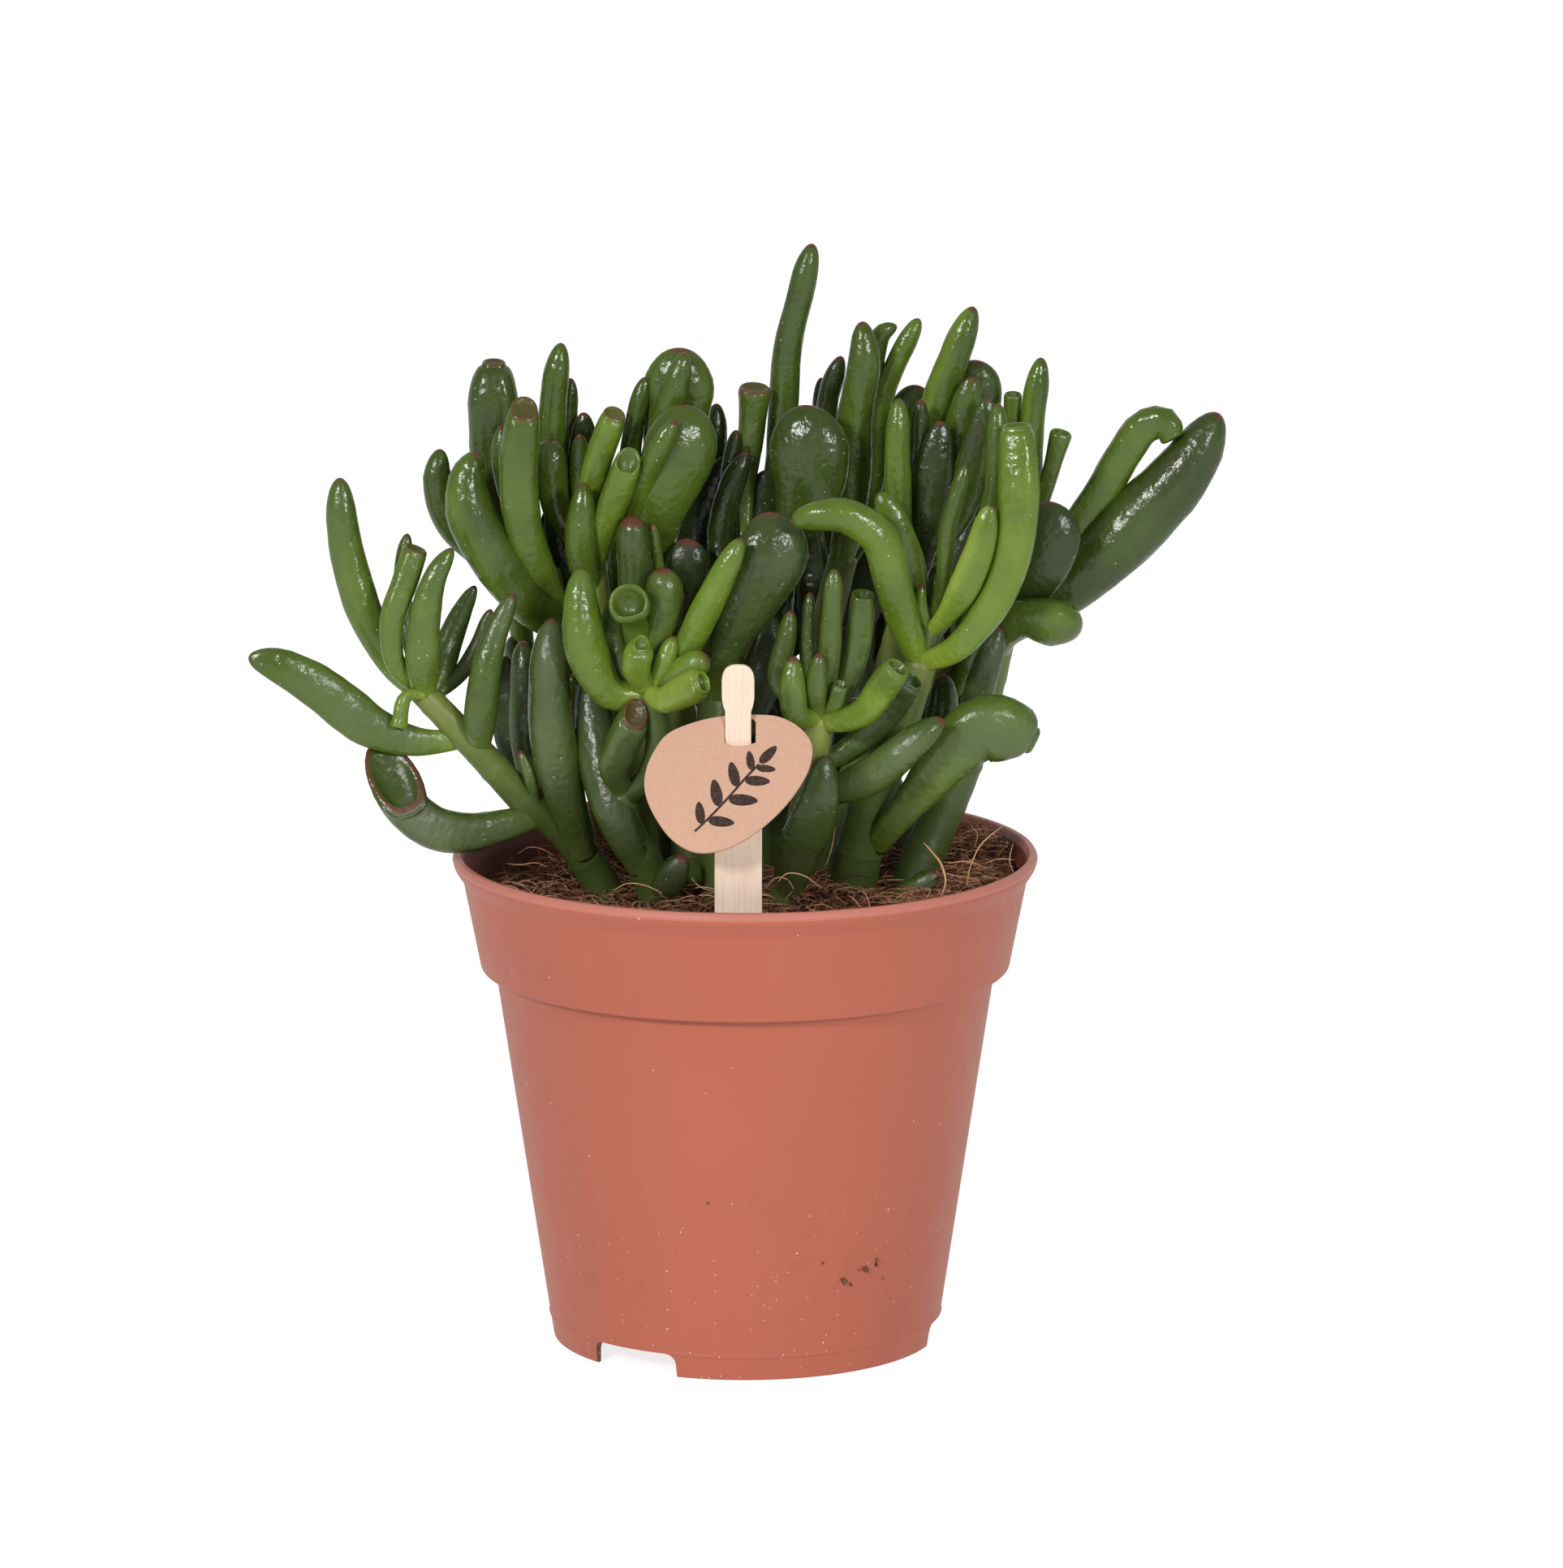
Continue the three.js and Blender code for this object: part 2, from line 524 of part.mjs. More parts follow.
    colour: 0x527628,
    stems: [
      stem(4.6, 3, [-3, 72, -6], [-5, 95, -8], [-6, 112, -8], [-6, 128, -6], [-3, 145, 0], [0, 158, 5]),
    ],
    leaves: [
      spoon(15.4, [-6, 127, -7], [-4, 139, -13], [1.4, 150, -16], [5.4, 159, -17], [4.8, 167.4, -16]),
      finger(6, [-3.4, 145, 0], [-5, 162, 5], [-3, 172, 5], [0.3, 179.8, 5]),
      cup(5.4, 6.8, 0.2, [0, 156, 5], [-0.4, 172, 9], [1.2, 183, 9], [1.9, 192.6, 8]),
      finger(4, [-1, 154, 5], [-3.4, 172, 7.5], [-1.8, 184.2, 7]),
      finger(6.2, [0, 156, 6], [6, 172, 13], [7.8, 188, 13], [8.6, 200, 12], [11.3, 212, 11],
        [13.8, 222.3, 11]),
      spoon(17.4, [0, 152, 4], [9, 161, 0], [13, 173, -2], [12.3, 189.3, -2]),
      blade(8, [0, 156, 6], [3, 167, 11], [4.6, 176, 11]),
      blade(9, [-5.6, 116, -8], [0, 126, -2], [4, 137, 2], [5.4, 146, 4]),
    ],
  },
  {
    name: 'shoot_right_rosette',
    colour: 0x65903a,
    stems: [
      stem(3.6, 2.8, [6, 72, -10], [9, 92, -13], [12, 106, -18], [14, 117, -21], [15.2, 125.5, -22]),
    ],
    leaves: [
      finger(9.4, [8, 88, -12], [11, 98, -20.6], [14.8, 107, -25.8], [16.6, 117.6, -27]),
      finger(5.8, [15, 125, -23], [10.6, 126, -27], [9.7, 131, -28], [9.9, 137.9, -28]),
      finger(4.6, [15, 125, -23], [14.5, 131, -26], [15.3, 138.6, -27]),
      finger(4.6, [15.5, 124.5, -21], [17, 134, -22], [17.7, 145, -22], [18.2, 155.8, -22]),
      finger(3, [14.6, 124.5, -20], [13, 140, -18], [13.2, 151, -17]),
      finger(4.6, [14.4, 124, -20], [7, 133, -18], [8.3, 141, -18], [9.4, 147.3, -18]),
      cup(5.4, 5.2, 0.3, [15.5, 124.5, -21], [20.4, 131, -19], [22.8, 139, -18], [24.2, 150.4, -19]),
      cup(3.6, 3.4, 0.4, [15.5, 125, -22], [18.2, 127.4, -25], [19.7, 132, -26]),
      cup(6.4, 5.4, 0, [15.2, 124.6, -22], [19.6, 124.6, -26], [24.6, 126.8, -28], [28, 131.4, -29],
        [31.2, 135.6, -32]),
      cup(6.3, 4.9, 0, [13.2, 115.4, -19.6], [20, 118, -18], [26.5, 123.4, -19], [31.2, 129, -21],
        [34.1, 132.8, -24]),
      finger(7.8, [12.6, 111, -19], [19.5, 110.8, -23], [27, 114.2, -27], [34, 120, -29],
        [40.6, 125, -29]),
    ],
  },
  {
    name: 'shoot_right',
    colour: 0x6a8f35,
    stems: [
      stem(5.8, 3.3, [18, 72, -4], [22, 92, -7], [25.5, 107, -9], [31, 122, -12], [36.2, 137, -14]),
      stem(2.6, 2.2, [36, 136, -14], [37.3, 142, -14], [37.8, 147, -13]),
    ],
    leaves: [
      finger(8, [36, 136, -14], [32.4, 145, -19], [29.9, 154, -22], [27.4, 162, -23], [20.5, 166.6, -24],
        [14, 166.5, -24], [9.3, 165.2, -23]),
      blade(7.4, [36, 137, -12], [34.2, 150, -12], [31.6, 162, -14], [27.5, 171.5, -14]),
      cup(8.4, 6.4, 0.2, [36.4, 136.5, -15], [43, 139.4, -20], [50, 147.4, -22], [54.4, 158, -23],
        [56, 171, -23], [55.4, 185, -21]),
      finger(5.2, [37.6, 141, -12], [45.6, 153, -12], [50.6, 170, -13], [51.8, 189.6, -12]),
      blade(6.4, [37.6, 142.5, -15], [42, 147.4, -21], [47, 157, -25], [50.2, 168.8, -26]),
      finger(2.6, [37.6, 143, -15], [36, 148, -17], [36.2, 152.8, -17]),
      finger(3.8, [37.6, 143, -13], [39.2, 149, -12], [39, 154.8, -11]),
      finger(3.8, [37.8, 143, -13], [40.6, 153, -17], [41.5, 164, -19], [45.2, 177.2, -19]),
      bulb(14, 6, [26.5, 99, -10], [30, 103.4, -15], [36, 110.5, -18], [42.5, 118.5, -19.5],
        [48.5, 123, -20], [54.5, 122.5, -19.5], [59, 120.6, -18.5]),
    ],
  },
  {
    name: 'shoot_right_low',
    colour: 0x4b6d30,
    stems: [
      stem(5, 3.2, [29, 72, -2], [34.5, 92, 0], [40, 105, 2], [45, 117, 3], [49, 130, 3], [53, 146, 1]),
    ],
    leaves: [
      finger(7.4, [30, 80, -4], [34, 88.6, -11], [39.5, 93.6, -14]),
      finger(6.4, [45.6, 118, 1], [47.2, 128, -6], [49.4, 136, -8], [52.4, 144, -8]),
      club(12.4, [51.6, 138, 2], [53, 142, -3], [57, 145.4, -7], [62, 145, -8], [68.6, 143.2, -6]),
      finger(14, [53, 144, 1], [67.4, 153.4, 3], [79.4, 164.8, 3], [89.6, 175.6, 2], [97, 187.6, 2]),
      spoon(14, [53, 144, 0], [57, 149, -4], [60.6, 155.4, -8], [62, 163, -9], [62, 169.6, -9]),
      cup(7.4, 5.2, 0, [53, 146, 2], [66, 162, 4], [72.6, 171, 4], [77.4, 179, 3], [81.6, 184.8, 2],
        [85.8, 185.6, 1], [87.4, 182.4, 0]),
      cup(3.6, 4.6, 0.2, [53, 147, 2], [60, 168, 6], [62.6, 176, 6], [64.7, 183.6, 6]),
      finger(5.8, [53, 147, 2], [57.4, 168, 9], [58.6, 185, 9], [60.6, 199, 9]),
      cup(3.8, 3.8, 0.3, [52.6, 147, 3], [54.2, 170, 11], [54.8, 191.4, 11]),
    ],
  },
  {
    name: 'shoot_right_back',
    colour: 0x50752b,
    stems: [
      stem(4.6, 3, [12, 72, 14], [22, 110, 13], [30, 136, 8], [34, 152, 4], [34.6, 160, 3]),
    ],
    leaves: [
      finger(5.8, [34, 150, 4], [31.6, 164, -3], [31.2, 178, -5], [31.4, 190.6, -5]),
      blade(9, [34.4, 151, 4], [36.6, 163, 0], [38.4, 175, -1], [40.2, 186, -1]),
      blade(8.2, [34.6, 156, 4], [40.6, 172, 6], [44, 183, 5], [46.5, 195, 4]),
      blade(8, [33, 147, 5], [39, 154, 10], [43.4, 161.6, 12], [45.4, 169, 13]),
      blade(9, [26, 122, 11], [23.6, 130, 15], [21.4, 138, 18], [20.4, 144, 19]),
      blade(7, [34.6, 154, 4], [43, 166, 1], [46.6, 178, -1], [49.8, 190.6, -2]),
      spoon(12, [34.6, 156, 5], [42, 175, 15], [46, 187, 14], [47.4, 198.5, 13]),
      finger(7.2, [34.6, 157, 4], [36.8, 175, 9], [39.6, 190, 9], [43.5, 201, 8], [46.8, 209.4, 8]),
      finger(4.4, [34.6, 157, 3], [35.4, 172, 2], [36, 190.4, 1]),
    ],
  },
  {
    name: 'shoot_middle_back',
    colour: 0x4c7028,
    stems: [
      stem(4.4, 3, [5, 72, 17], [9, 112, 20], [15, 138, 17], [20, 158, 12]),
    ],
    leaves: [
      finger(7.8, [19, 154, 12], [22, 172, 9], [22.4, 186, 8], [24.4, 198, 7], [24, 206.4, 7]),
      finger(5, [18.6, 155, 14], [16.6, 176, 17], [16.9, 190, 17], [19.7, 199.3, 16]),
      finger(3.6, [17.6, 150, 15], [15, 176, 21], [15.6, 194.9, 21]),
      finger(5.2, [20, 156, 14], [25, 178, 16], [26, 196, 15], [27.8, 203.6, 14], [31, 205.6, 14]),
      finger(5, [20, 156, 12], [26.6, 175, 15], [27.6, 189, 15], [31, 198, 14], [35.6, 207, 14]),
      blade(9, [13, 130, 18], [14.6, 143, 24], [15, 154, 26], [14, 164.6, 26]),
      blade(9, [14.6, 137, 17], [20, 142.6, 23], [24.4, 150, 26], [25.6, 160, 27]),
      spoon(9, [20, 155, 13], [29.6, 173, 21], [32.6, 184, 21], [35.6, 193.3, 20]),
    ],
  },
];

// The shoots at the back repeat one rule: pairs of leaves, each pair turned a quarter from the
// last, along a stem that leans out. The draws come from a seeded generator.
// X, Y and Z along each stem
const BACK_STEMS = [
  { colour: 0x4d702c, seed: 11, path: [[33, 17, 82], [36, 22, 100], [39, 27, 118], [42, 30, 136]] },
  { colour: 0x567a2f, seed: 23, path: [[18, 28, 82], [19, 34, 100], [22, 39, 124], [26, 41, 150]] },
  { colour: 0x4a6d2a, seed: 37, path: [[0, 32, 82], [-1, 38, 100], [-1, 42, 126], [2, 43, 146]] },
  { colour: 0x55792e, seed: 41, path: [[-18, 28, 82], [-20, 34, 100], [-24, 39, 124], [-27, 41, 150]] },
  { colour: 0x4e722b, seed: 59, path: [[-32, 16, 82], [-34, 21, 98], [-38, 26, 112], [-42, 29, 127]] },
];
const BACK_PAIRS = 5;
const BACK_FIRST = 0.42;
const BACK_TRIES = 14;
const BACK_LIMIT = 57;

function randomFrom(seed) {
  let state = seed;
  return (low, high) => {
    state = (state * 16807) % 2147483647;
    return low + (state / 2147483647) * (high - low);
  };
}

// Balls along a path, which stand for a leaf or a stem when room is looked for
function ballsAlong(points, radius) {
  const balls = [];
  for (let i = 0; i + 1 < points.length; i += 1) {
    const steps = Math.ceil(points[i].distanceTo(points[i + 1]) / 3);
    for (let step = 1; step <= steps; step += 1) {
      balls.push({ middle: points[i].clone().lerp(points[i + 1], step / steps), radius });
    }
  }
  return balls;
}

function shootBalls(shoot) {
  const stems = shoot.stems.flatMap((shape) => ballsAlong(shape.path, shape.foot));
  return [...stems, ...shoot.leaves.flatMap((leaf) => ballsAlong(leaf.path, 0.46 * leaf.width))];
}

function roomBeside(balls, others) {
  const clear = (a, b) => a.middle.distanceTo(b.middle) > a.radius + b.radius + GAP;
  return balls.every((ball) => others.every((other) => clear(ball, other)));
}

function backLeaf(root, turn, top, draw) {
  const length = draw(24, 32) + 8 * top;
  const spread = draw(0.4, 0.75) * length * (1 - 0.6 * top);
  const reach = new THREE.Vector3(spread * Math.cos(turn), spread * Math.sin(turn), 0).add(root);
  reach.y = Math.min(reach.y, BACK_LIMIT - 3);
  const bend = root.clone().lerp(reach, 0.7);
  bend.z += 0.32 * length;
  const tip = reach.clone();
  tip.z += 0.88 * length;
  const middle = root.clone().lerp(bend, 0.5);
  middle.z -= 0.06 * length;
  const width = draw(5.6, 7.8);
  const form = draw(0, 1) < 0.3 ? { ...STUB, mouth: 0.95 * width, lean: 0.3 } : FINGER;
  const face = new THREE.Vector3(-Math.cos(turn), -Math.sin(turn), 0);
  return { ...form, width, path: [root, middle, bend, tip], face };
}

function backStem(row) {
  const path = row.path.map(([x, y, z]) => new THREE.Vector3(x, y, z));
  return { foot: 4, top: 2.8, path, face: TO_VIEWER };
}

function backLeaves(shape, draw, taken) {
  const curve = new THREE.CatmullRomCurve3(shape.path, false, 'centripetal');
  const leaves = [];
  for (let pair = 0; pair < BACK_PAIRS; pair += 1) {
    const top = pair / (BACK_PAIRS - 1);
    const root = curve.getPointAt(BACK_FIRST + (0.99 - BACK_FIRST) * top);
    for (const opposite of [0, Math.PI]) {
      for (let attempt = 0; attempt < BACK_TRIES; attempt += 1) {
        const turn = opposite + (pair % 2) * 0.5 * Math.PI + draw(-0.7, 0.7);
        const leaf = backLeaf(root, turn, top, draw);
        const own = leaves.flatMap((other) => ballsAlong(other.path.slice(2), 0.4 * other.width));
        const outer = ballsAlong(leaf.path.slice(1), 0.5 * leaf.width);
        if (roomBeside(outer, taken) && roomBeside(outer.slice(2), own)) {
          leaves.push(leaf);
          break;
        }
      }
    }
  }
  return leaves;
}

function withBackShoots(front) {
  const bare = BACK_STEMS.map((row) => ({ ...row, stems: [backStem(row)], leaves: [] }));
  const grown = [...front];
  bare.forEach((shoot, index) => {
    const taken = [...grown, ...bare.slice(index + 1)].flatMap(shootBalls);
    const leaves = backLeaves(shoot.stems[0], randomFrom(shoot.seed * 7919), taken);
    grown.push({ ...shoot, name: `shoot_back_${index + 1}`, leaves });
  });
  return grown;
}

const ALL_SHOOTS = withBackShoots(SHOOTS);

// Where two shoots press on each other, the later one gives way by the gap between them
function pressedApart(shoots) {
  const taken = [];
  return shoots.map((shoot) => {
    const whole = shootBody(shoot);
    const clear = taken.reduce((body, other) => body.subtract(other), whole);
    taken.push(shootBody(shoot, GAP));
    return { ...shoot, body: largestPiece(clear) };
  });
}

const shoots = pressedApart(ALL_SHOOTS);
const stick = stickBody(0);
const card = cardBody();
const holes = [stickBody(GAP), ...ALL_SHOOTS.map((shoot) => shootBody(shoot, GAP))];
const soil = largestPiece(soilBody().subtract(wasm.Manifold.union(holes))).simplify(SLIVER);

const plant = new THREE.Group();
plant.add(named('pot', makePot(), finish(0xbe6e58, 0.45)));
plant.add(named('soil', soil, finish(0x4a2f22, 0.95)));
plant.add(named('label_stick', stick, finish(0xe8cdb0, 0.7)));
plant.add(named('label_card', card, finish(0xd9a988, 0.85)));
for (const shoot of shoots) plant.add(named(shoot.name, shoot.body, finish(shoot.colour, 0.35)));

export default plant;
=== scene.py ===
"""The potted hobbit jade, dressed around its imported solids: a terracotta-coloured nursery pot,
coir, a wooden label stick with its card, and the fleshy shoots. Metres, +Z up, front towards -Y."""
import math

import bpy
import numpy as np
from mathutils import Matrix, Vector, noise


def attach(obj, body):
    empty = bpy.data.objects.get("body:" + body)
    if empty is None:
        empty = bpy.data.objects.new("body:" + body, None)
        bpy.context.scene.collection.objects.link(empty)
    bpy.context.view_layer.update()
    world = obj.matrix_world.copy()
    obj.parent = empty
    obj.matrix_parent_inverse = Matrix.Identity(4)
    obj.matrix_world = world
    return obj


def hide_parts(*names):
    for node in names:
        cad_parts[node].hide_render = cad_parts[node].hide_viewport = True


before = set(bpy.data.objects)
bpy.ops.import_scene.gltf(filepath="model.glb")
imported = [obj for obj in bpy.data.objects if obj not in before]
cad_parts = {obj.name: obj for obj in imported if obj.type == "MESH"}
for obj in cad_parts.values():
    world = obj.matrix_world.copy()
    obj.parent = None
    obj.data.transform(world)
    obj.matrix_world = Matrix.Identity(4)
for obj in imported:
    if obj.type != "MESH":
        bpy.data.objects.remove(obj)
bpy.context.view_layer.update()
bpy.ops.object.select_all(action="DESELECT")

# The nursery pot: one thin moulding in satin terracotta-coloured polypropylene, with a deep
# collar, a rolled rim, a raised base plate with drain holes and a foot ring with three notches.
# It is turned from its outline. The corners of the outline carry their own radius, in mm
MM = 0.001
POT_OUTLINE = [
    (0, 6, 0), (38.4, 6, 0.6), (38.4, 0, 0.25), (39.6, 0, 0.5), (40.3, 4.6, 0.2), (40.62, 5, 0.15),
    (40.5, 5.7, 0.2), (51.3, 77.5, 0.25), (54.25, 78, 0.7), (57.8, 96.2, 3),
    (59.6, 99, 0.8), (60, 100.5, 0.7), (59.4, 101.6, 0.5), (58.3, 101.5, 0.5), (57.5, 99.6, 1.5),
    (56.5, 96.2, 3), (53.5, 80.8, 1.6), (50.1, 78.4, 1), (39.7, 8.2, 0.8), (38.9, 7.2, 0.5),
    (0, 7.2, 0),
]
POT_STEPS = 192
NOTCH_ANGLES = (-35, 85, 205)
NOTCH_WIDTH = 20
NOTCH_HEIGHT = 5
NOTCH_CORNER = 2.2
FOOT_RADIUS = 40
DRAIN_HOLES = 8
DRAIN_RADIUS = 3.5
DRAIN_CIRCLE = 27
TERRACOTTA = (0.435, 0.118, 0.071)
TERRACOTTA_DEEP = (0.385, 0.100, 0.060)
# The pale colour serves both the faint scratched streaks and the painted highlight along the top of the
# rim
TERRACOTTA_STREAK_AND_HIGHLIGHT = (0.60, 0.26, 0.21)
# The dark inside colour serves both the painted shade of the inner wall and the dark specks on the lower
# wall
TERRACOTTA_SHADE_AND_SPECK = (0.20, 0.052, 0.034)
MINERAL = (0.74, 0.66, 0.60)
GRIME = (0.17, 0.07, 0.045)


def filleted(outline, arc_points=4):
    """The outline with an arc of its own radius at each corner"""
    points = [Vector(corner[:2]) for corner in outline]
    smooth = [points[0]]
    for before, corner, after, (_, _, radius) in zip(points, points[1:], points[2:], outline[1:]):
        back = (before - corner).normalized()
        on = (after - corner).normalized()
        half = back.angle(on) / 2
        room = 0.45 * min((before - corner).length, (after - corner).length)
        reach = min(radius / math.tan(half), room)
        start = corner + back * reach
        end = corner + on * reach
        for step in range(arc_points + 1):
            share = step / arc_points
            smooth.append(start.lerp(corner, share).lerp(corner.lerp(end, share), share))
    return [*smooth, points[-1]]


def mesh_object(name, points, faces, edges=()):
    """A new selected object at the origin, its points given in mm"""
    mesh = bpy.data.meshes.new(name)
    mesh.from_pydata([tuple(MM * value for value in point) for point in points], edges, faces)
    piece = bpy.data.objects.new(name, mesh)
    bpy.context.scene.collection.objects.link(piece)
    bpy.ops.object.select_all(action="DESELECT")
    piece.select_set(True)
    bpy.context.view_layer.objects.active = piece
    return piece


def turned(name, outline, steps):
    """An outline of radius and height spun about the Z axis into a closed shape"""
    points = [(radius, 0, height) for radius, height in outline]
    piece = mesh_object(name, points, [], [(i, i + 1) for i in range(len(points) - 1)])
    bpy.ops.object.mode_set(mode="EDIT")
    bpy.ops.mesh.select_all(action="SELECT")
    bpy.ops.mesh.spin(steps=steps, angle=2 * math.pi, center=(0, 0, 0), axis=(0, 0, 1))
    bpy.ops.mesh.select_all(action="SELECT")
    bpy.ops.mesh.remove_doubles(threshold=0.02 * MM)
    bpy.ops.mesh.normals_make_consistent(inside=False)
    bpy.ops.object.mode_set(mode="OBJECT")
    return piece


def apply_modifier(piece, kind, **settings):
    bpy.context.view_layer.objects.active = piece
    modifier = piece.modifiers.new(kind, kind)
    for name, value in settings.items():
        setattr(modifier, name, value)
    bpy.ops.object.modifier_apply(modifier=modifier.name)


def cut_away(piece, cutters):
    """Takes the cutters, which don't touch each other, away from the piece"""
    bpy.ops.object.select_all(action="DESELECT")
    for cutter in cutters:
        cutter.select_set(True)
    bpy.context.view_layer.objects.active = cutters[0]
    bpy.ops.object.join()
    apply_modifier(piece, "BOOLEAN", operation="DIFFERENCE", solver="EXACT", object=cutters[0])
    bpy.data.objects.remove(cutters[0])


class Tone:
    """A value that varies over a surface: the output of a node of a finish"""

    def __init__(self, finish, socket):
        self.finish = finish
        self.socket = socket

    def _with(self, operation, first, second):
        return self.finish.node("Math", {"operation": operation}, {0: first, 1: second})

    def __add__(self, other):
        return self._with("ADD", self, other)

    def __sub__(self, other):
        return self._with("SUBTRACT", self, other)

    def __rsub__(self, other):
        return self._with("SUBTRACT", other, self)

    def __mul__(self, other):
        return self._with("MULTIPLY", self, other)

    def __lt__(self, other):
        return self._with("LESS_THAN", self, other)

    __radd__ = __add__
    __rmul__ = __mul__


class Finish:
    """A material, with its shader's plain values set straight on the sockets"""

    def __init__(self, name, **values):
        self.material = bpy.data.materials.new(name)
        self.material.use_nodes = True
        self.tree = self.material.node_tree
        self.shader = self.tree.nodes["Principled BSDF"]
        for socket, value in values.items():
            self.shader.inputs[socket.replace("_", " ")].default_value = value
        self.place = self.node("TexCoord", output="Object")

    def node(self, kind, settings=None, sockets=None, output=0):
        """Any node: its settings first, then the values or links of its sockets"""
        made = self.tree.nodes.new("ShaderNode" + kind)
        for name, value in (settings or {}).items():
            if name == "stops":
                for stop, (position, colour) in zip(self.stops(made, len(value)), value):
                    stop.position = position
                    stop.color = (*colour, 1)
            else:
                setattr(made, name, value)
        for name, value in (sockets or {}).items():
            if isinstance(value, Tone):
                self.tree.links.new(value.socket, made.inputs[name])
            else:
                made.inputs[name].default_value = value
        return Tone(self, made.outputs[output])

    def stops(self, ramp, count):
        while len(ramp.color_ramp.elements) < count:
            ramp.color_ramp.elements.new(0.5)
        return ramp.color_ramp.elements

    def feed(self, **links):
        for socket, value in links.items():
            self.tree.links.new(value.socket, self.shader.inputs[socket.replace("_", " ")])

    def mix(self, share, first, second):
        """A colour between two colours"""
        pair = {6: first, 7: second}
        sockets = {0: share, **{k: v if isinstance(v, Tone) else (*v, 1) for k, v in pair.items()}}
        return self.node("Mix", {"data_type": "RGBA"}, sockets, output=2)

    def cloud(self, scale, detail, vector=None):
        """Soft noise, from 0 to 1, with so many lumps to a metre"""
        sockets = {"Vector": vector or self.place, "Scale": scale, "Detail": detail}
        return self.node("TexNoise", sockets=sockets)

    def step(self, value, low, high):
        """A smooth rise from 0 at low to 1 at high"""
        sockets = {"Value": value, "From Min": low, "From Max": high}
        return self.node("MapRange", {"interpolation_type": "SMOOTHSTEP"}, sockets)

    def dots(self, scale, radius, share):
        """Small round spots: so many cells to a metre, of which a share has a spot"""
        cells = {"Vector": self.place, "Scale": scale}
        away = self.node("TexVoronoi", sockets=cells, output="Distance")
        colour = self.node("TexVoronoi", sockets=cells, output="Color")
        chance = self.node("SeparateColor", sockets={0: colour})
        return self.step(away, radius * scale, 0.55 * radius * scale) * (chance < share)

    def part(self, vector, axis):
        """One of the three parts of a vector"""
        return self.node("SeparateXYZ", sockets={0: vector}, output=axis)

    def bump(self, height, strength, distance):
        sockets = {"Height": height, "Strength": strength, "Distance": distance}
        return self.node("Bump", sockets=sockets)

    def stretched(self, x, y, z):
        """The place on the piece, scaled along each axis"""
        return self.node("Mapping", sockets={"Vector": self.place, "Scale": (x, y, z)})


pot = turned("nursery_pot", filleted(POT_OUTLINE), POT_STEPS)
cutters = []
for degrees in NOTCH_ANGLES:
    turn = Matrix.Rotation(math.radians(degrees), 4, "Z")
    middle = turn @ Vector((0, -FOOT_RADIUS * MM, 0))
    bpy.ops.mesh.primitive_cube_add(size=1, location=middle, rotation=(0, 0, math.radians(degrees)))
    cutter = bpy.context.object
    cutter.scale = (NOTCH_WIDTH * MM, 24 * MM, 2 * NOTCH_HEIGHT * MM)
    bpy.ops.object.transform_apply(scale=True)
    apply_modifier(cutter, "BEVEL", width=NOTCH_CORNER * MM, segments=5)
    cutters.append(cutter)
for hole in range(DRAIN_HOLES):
    angle = 2 * math.pi * hole / DRAIN_HOLES
    middle = (DRAIN_CIRCLE * MM * math.cos(angle), DRAIN_CIRCLE * MM * math.sin(angle), 6 * MM)
    bpy.ops.mesh.primitive_cylinder_add(vertices=40, radius=DRAIN_RADIUS * MM, depth=5 * MM,
                                        location=middle)
    cutters.append(bpy.context.object)
cut_away(pot, cutters)
bpy.ops.object.select_all(action="DESELECT")
pot.select_set(True)
bpy.context.view_layer.objects.active = pot
bpy.ops.object.shade_smooth_by_angle(angle=math.radians(40))

plastic = Finish("terracotta plastic", Roughness=0.42, Specular_IOR_Level=0.32)
height = plastic.part(plastic.place, 2)
mottle = plastic.step(plastic.cloud(22, 3), 0.35, 0.7)
colour = plastic.mix(mottle * 0.30, TERRACOTTA, TERRACOTTA_DEEP)
streaks = plastic.cloud(1, 3, plastic.stretched(240, 240, 14))
colour = plastic.mix(plastic.step(streaks, 0.62, 0.82) * 0.07, colour, TERRACOTTA_STREAK_AND_HIGHLIGHT)
# Painted highlight: the top of the rolled rim, from about 99.6 mm up, is mixed towards the pale colour
rim_highlight = plastic.step(height, 0.0996, 0.1001)
colour = plastic.mix(rim_highlight * 0.4, colour, TERRACOTTA_STREAK_AND_HIGHLIGHT)
# Painted shade: the inner wall, below the rim top, is given the dark inside colour
facing = plastic.node("NewGeometry", output="Normal")
inner_wall_shade = plastic.part(plastic.place, 0) * plastic.part(facing, 0)
inner_wall_shade = (inner_wall_shade + plastic.part(plastic.place, 1) * plastic.part(facing, 1)) < 0
colour = plastic.mix(inner_wall_shade * (height < 0.1), colour, TERRACOTTA_SHADE_AND_SPECK)
low_wall = plastic.step(height, 0.056, 0.012)
specks = plastic.dots(380, 0.00024, 0.09) + plastic.dots(800, 0.00017, 0.26) * low_wall
colour = plastic.mix(specks * 0.8, colour, MINERAL)
colour = plastic.mix(plastic.dots(840, 0.00013, 0.1) * low_wall * 0.8, colour, TERRACOTTA_SHADE_AND_SPECK)
grime = plastic.step(plastic.cloud(150, 4), 0.56, 0.72)
grime = grime * plastic.step(plastic.cloud(34, 2), 0.52, 0.66)
colour = plastic.mix(grime * low_wall * 0.22, colour, GRIME)
scuffs = plastic.cloud(1, 2, plastic.stretched(900, 900, 60))
skin_height = plastic.cloud(2600, 2) * 0.5 + plastic.cloud(90, 2)
plastic.feed(
    Base_Color=colour,
    Roughness=0.36 + plastic.cloud(260, 3) * 0.16 + plastic.step(scuffs, 0.62, 0.75) * 0.12,
    Normal=plastic.bump(skin_height, 0.12, 0.0003),
)
pot.data.materials.clear()
pot.data.materials.append(plastic.material)
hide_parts("pot")
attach(pot, "root")

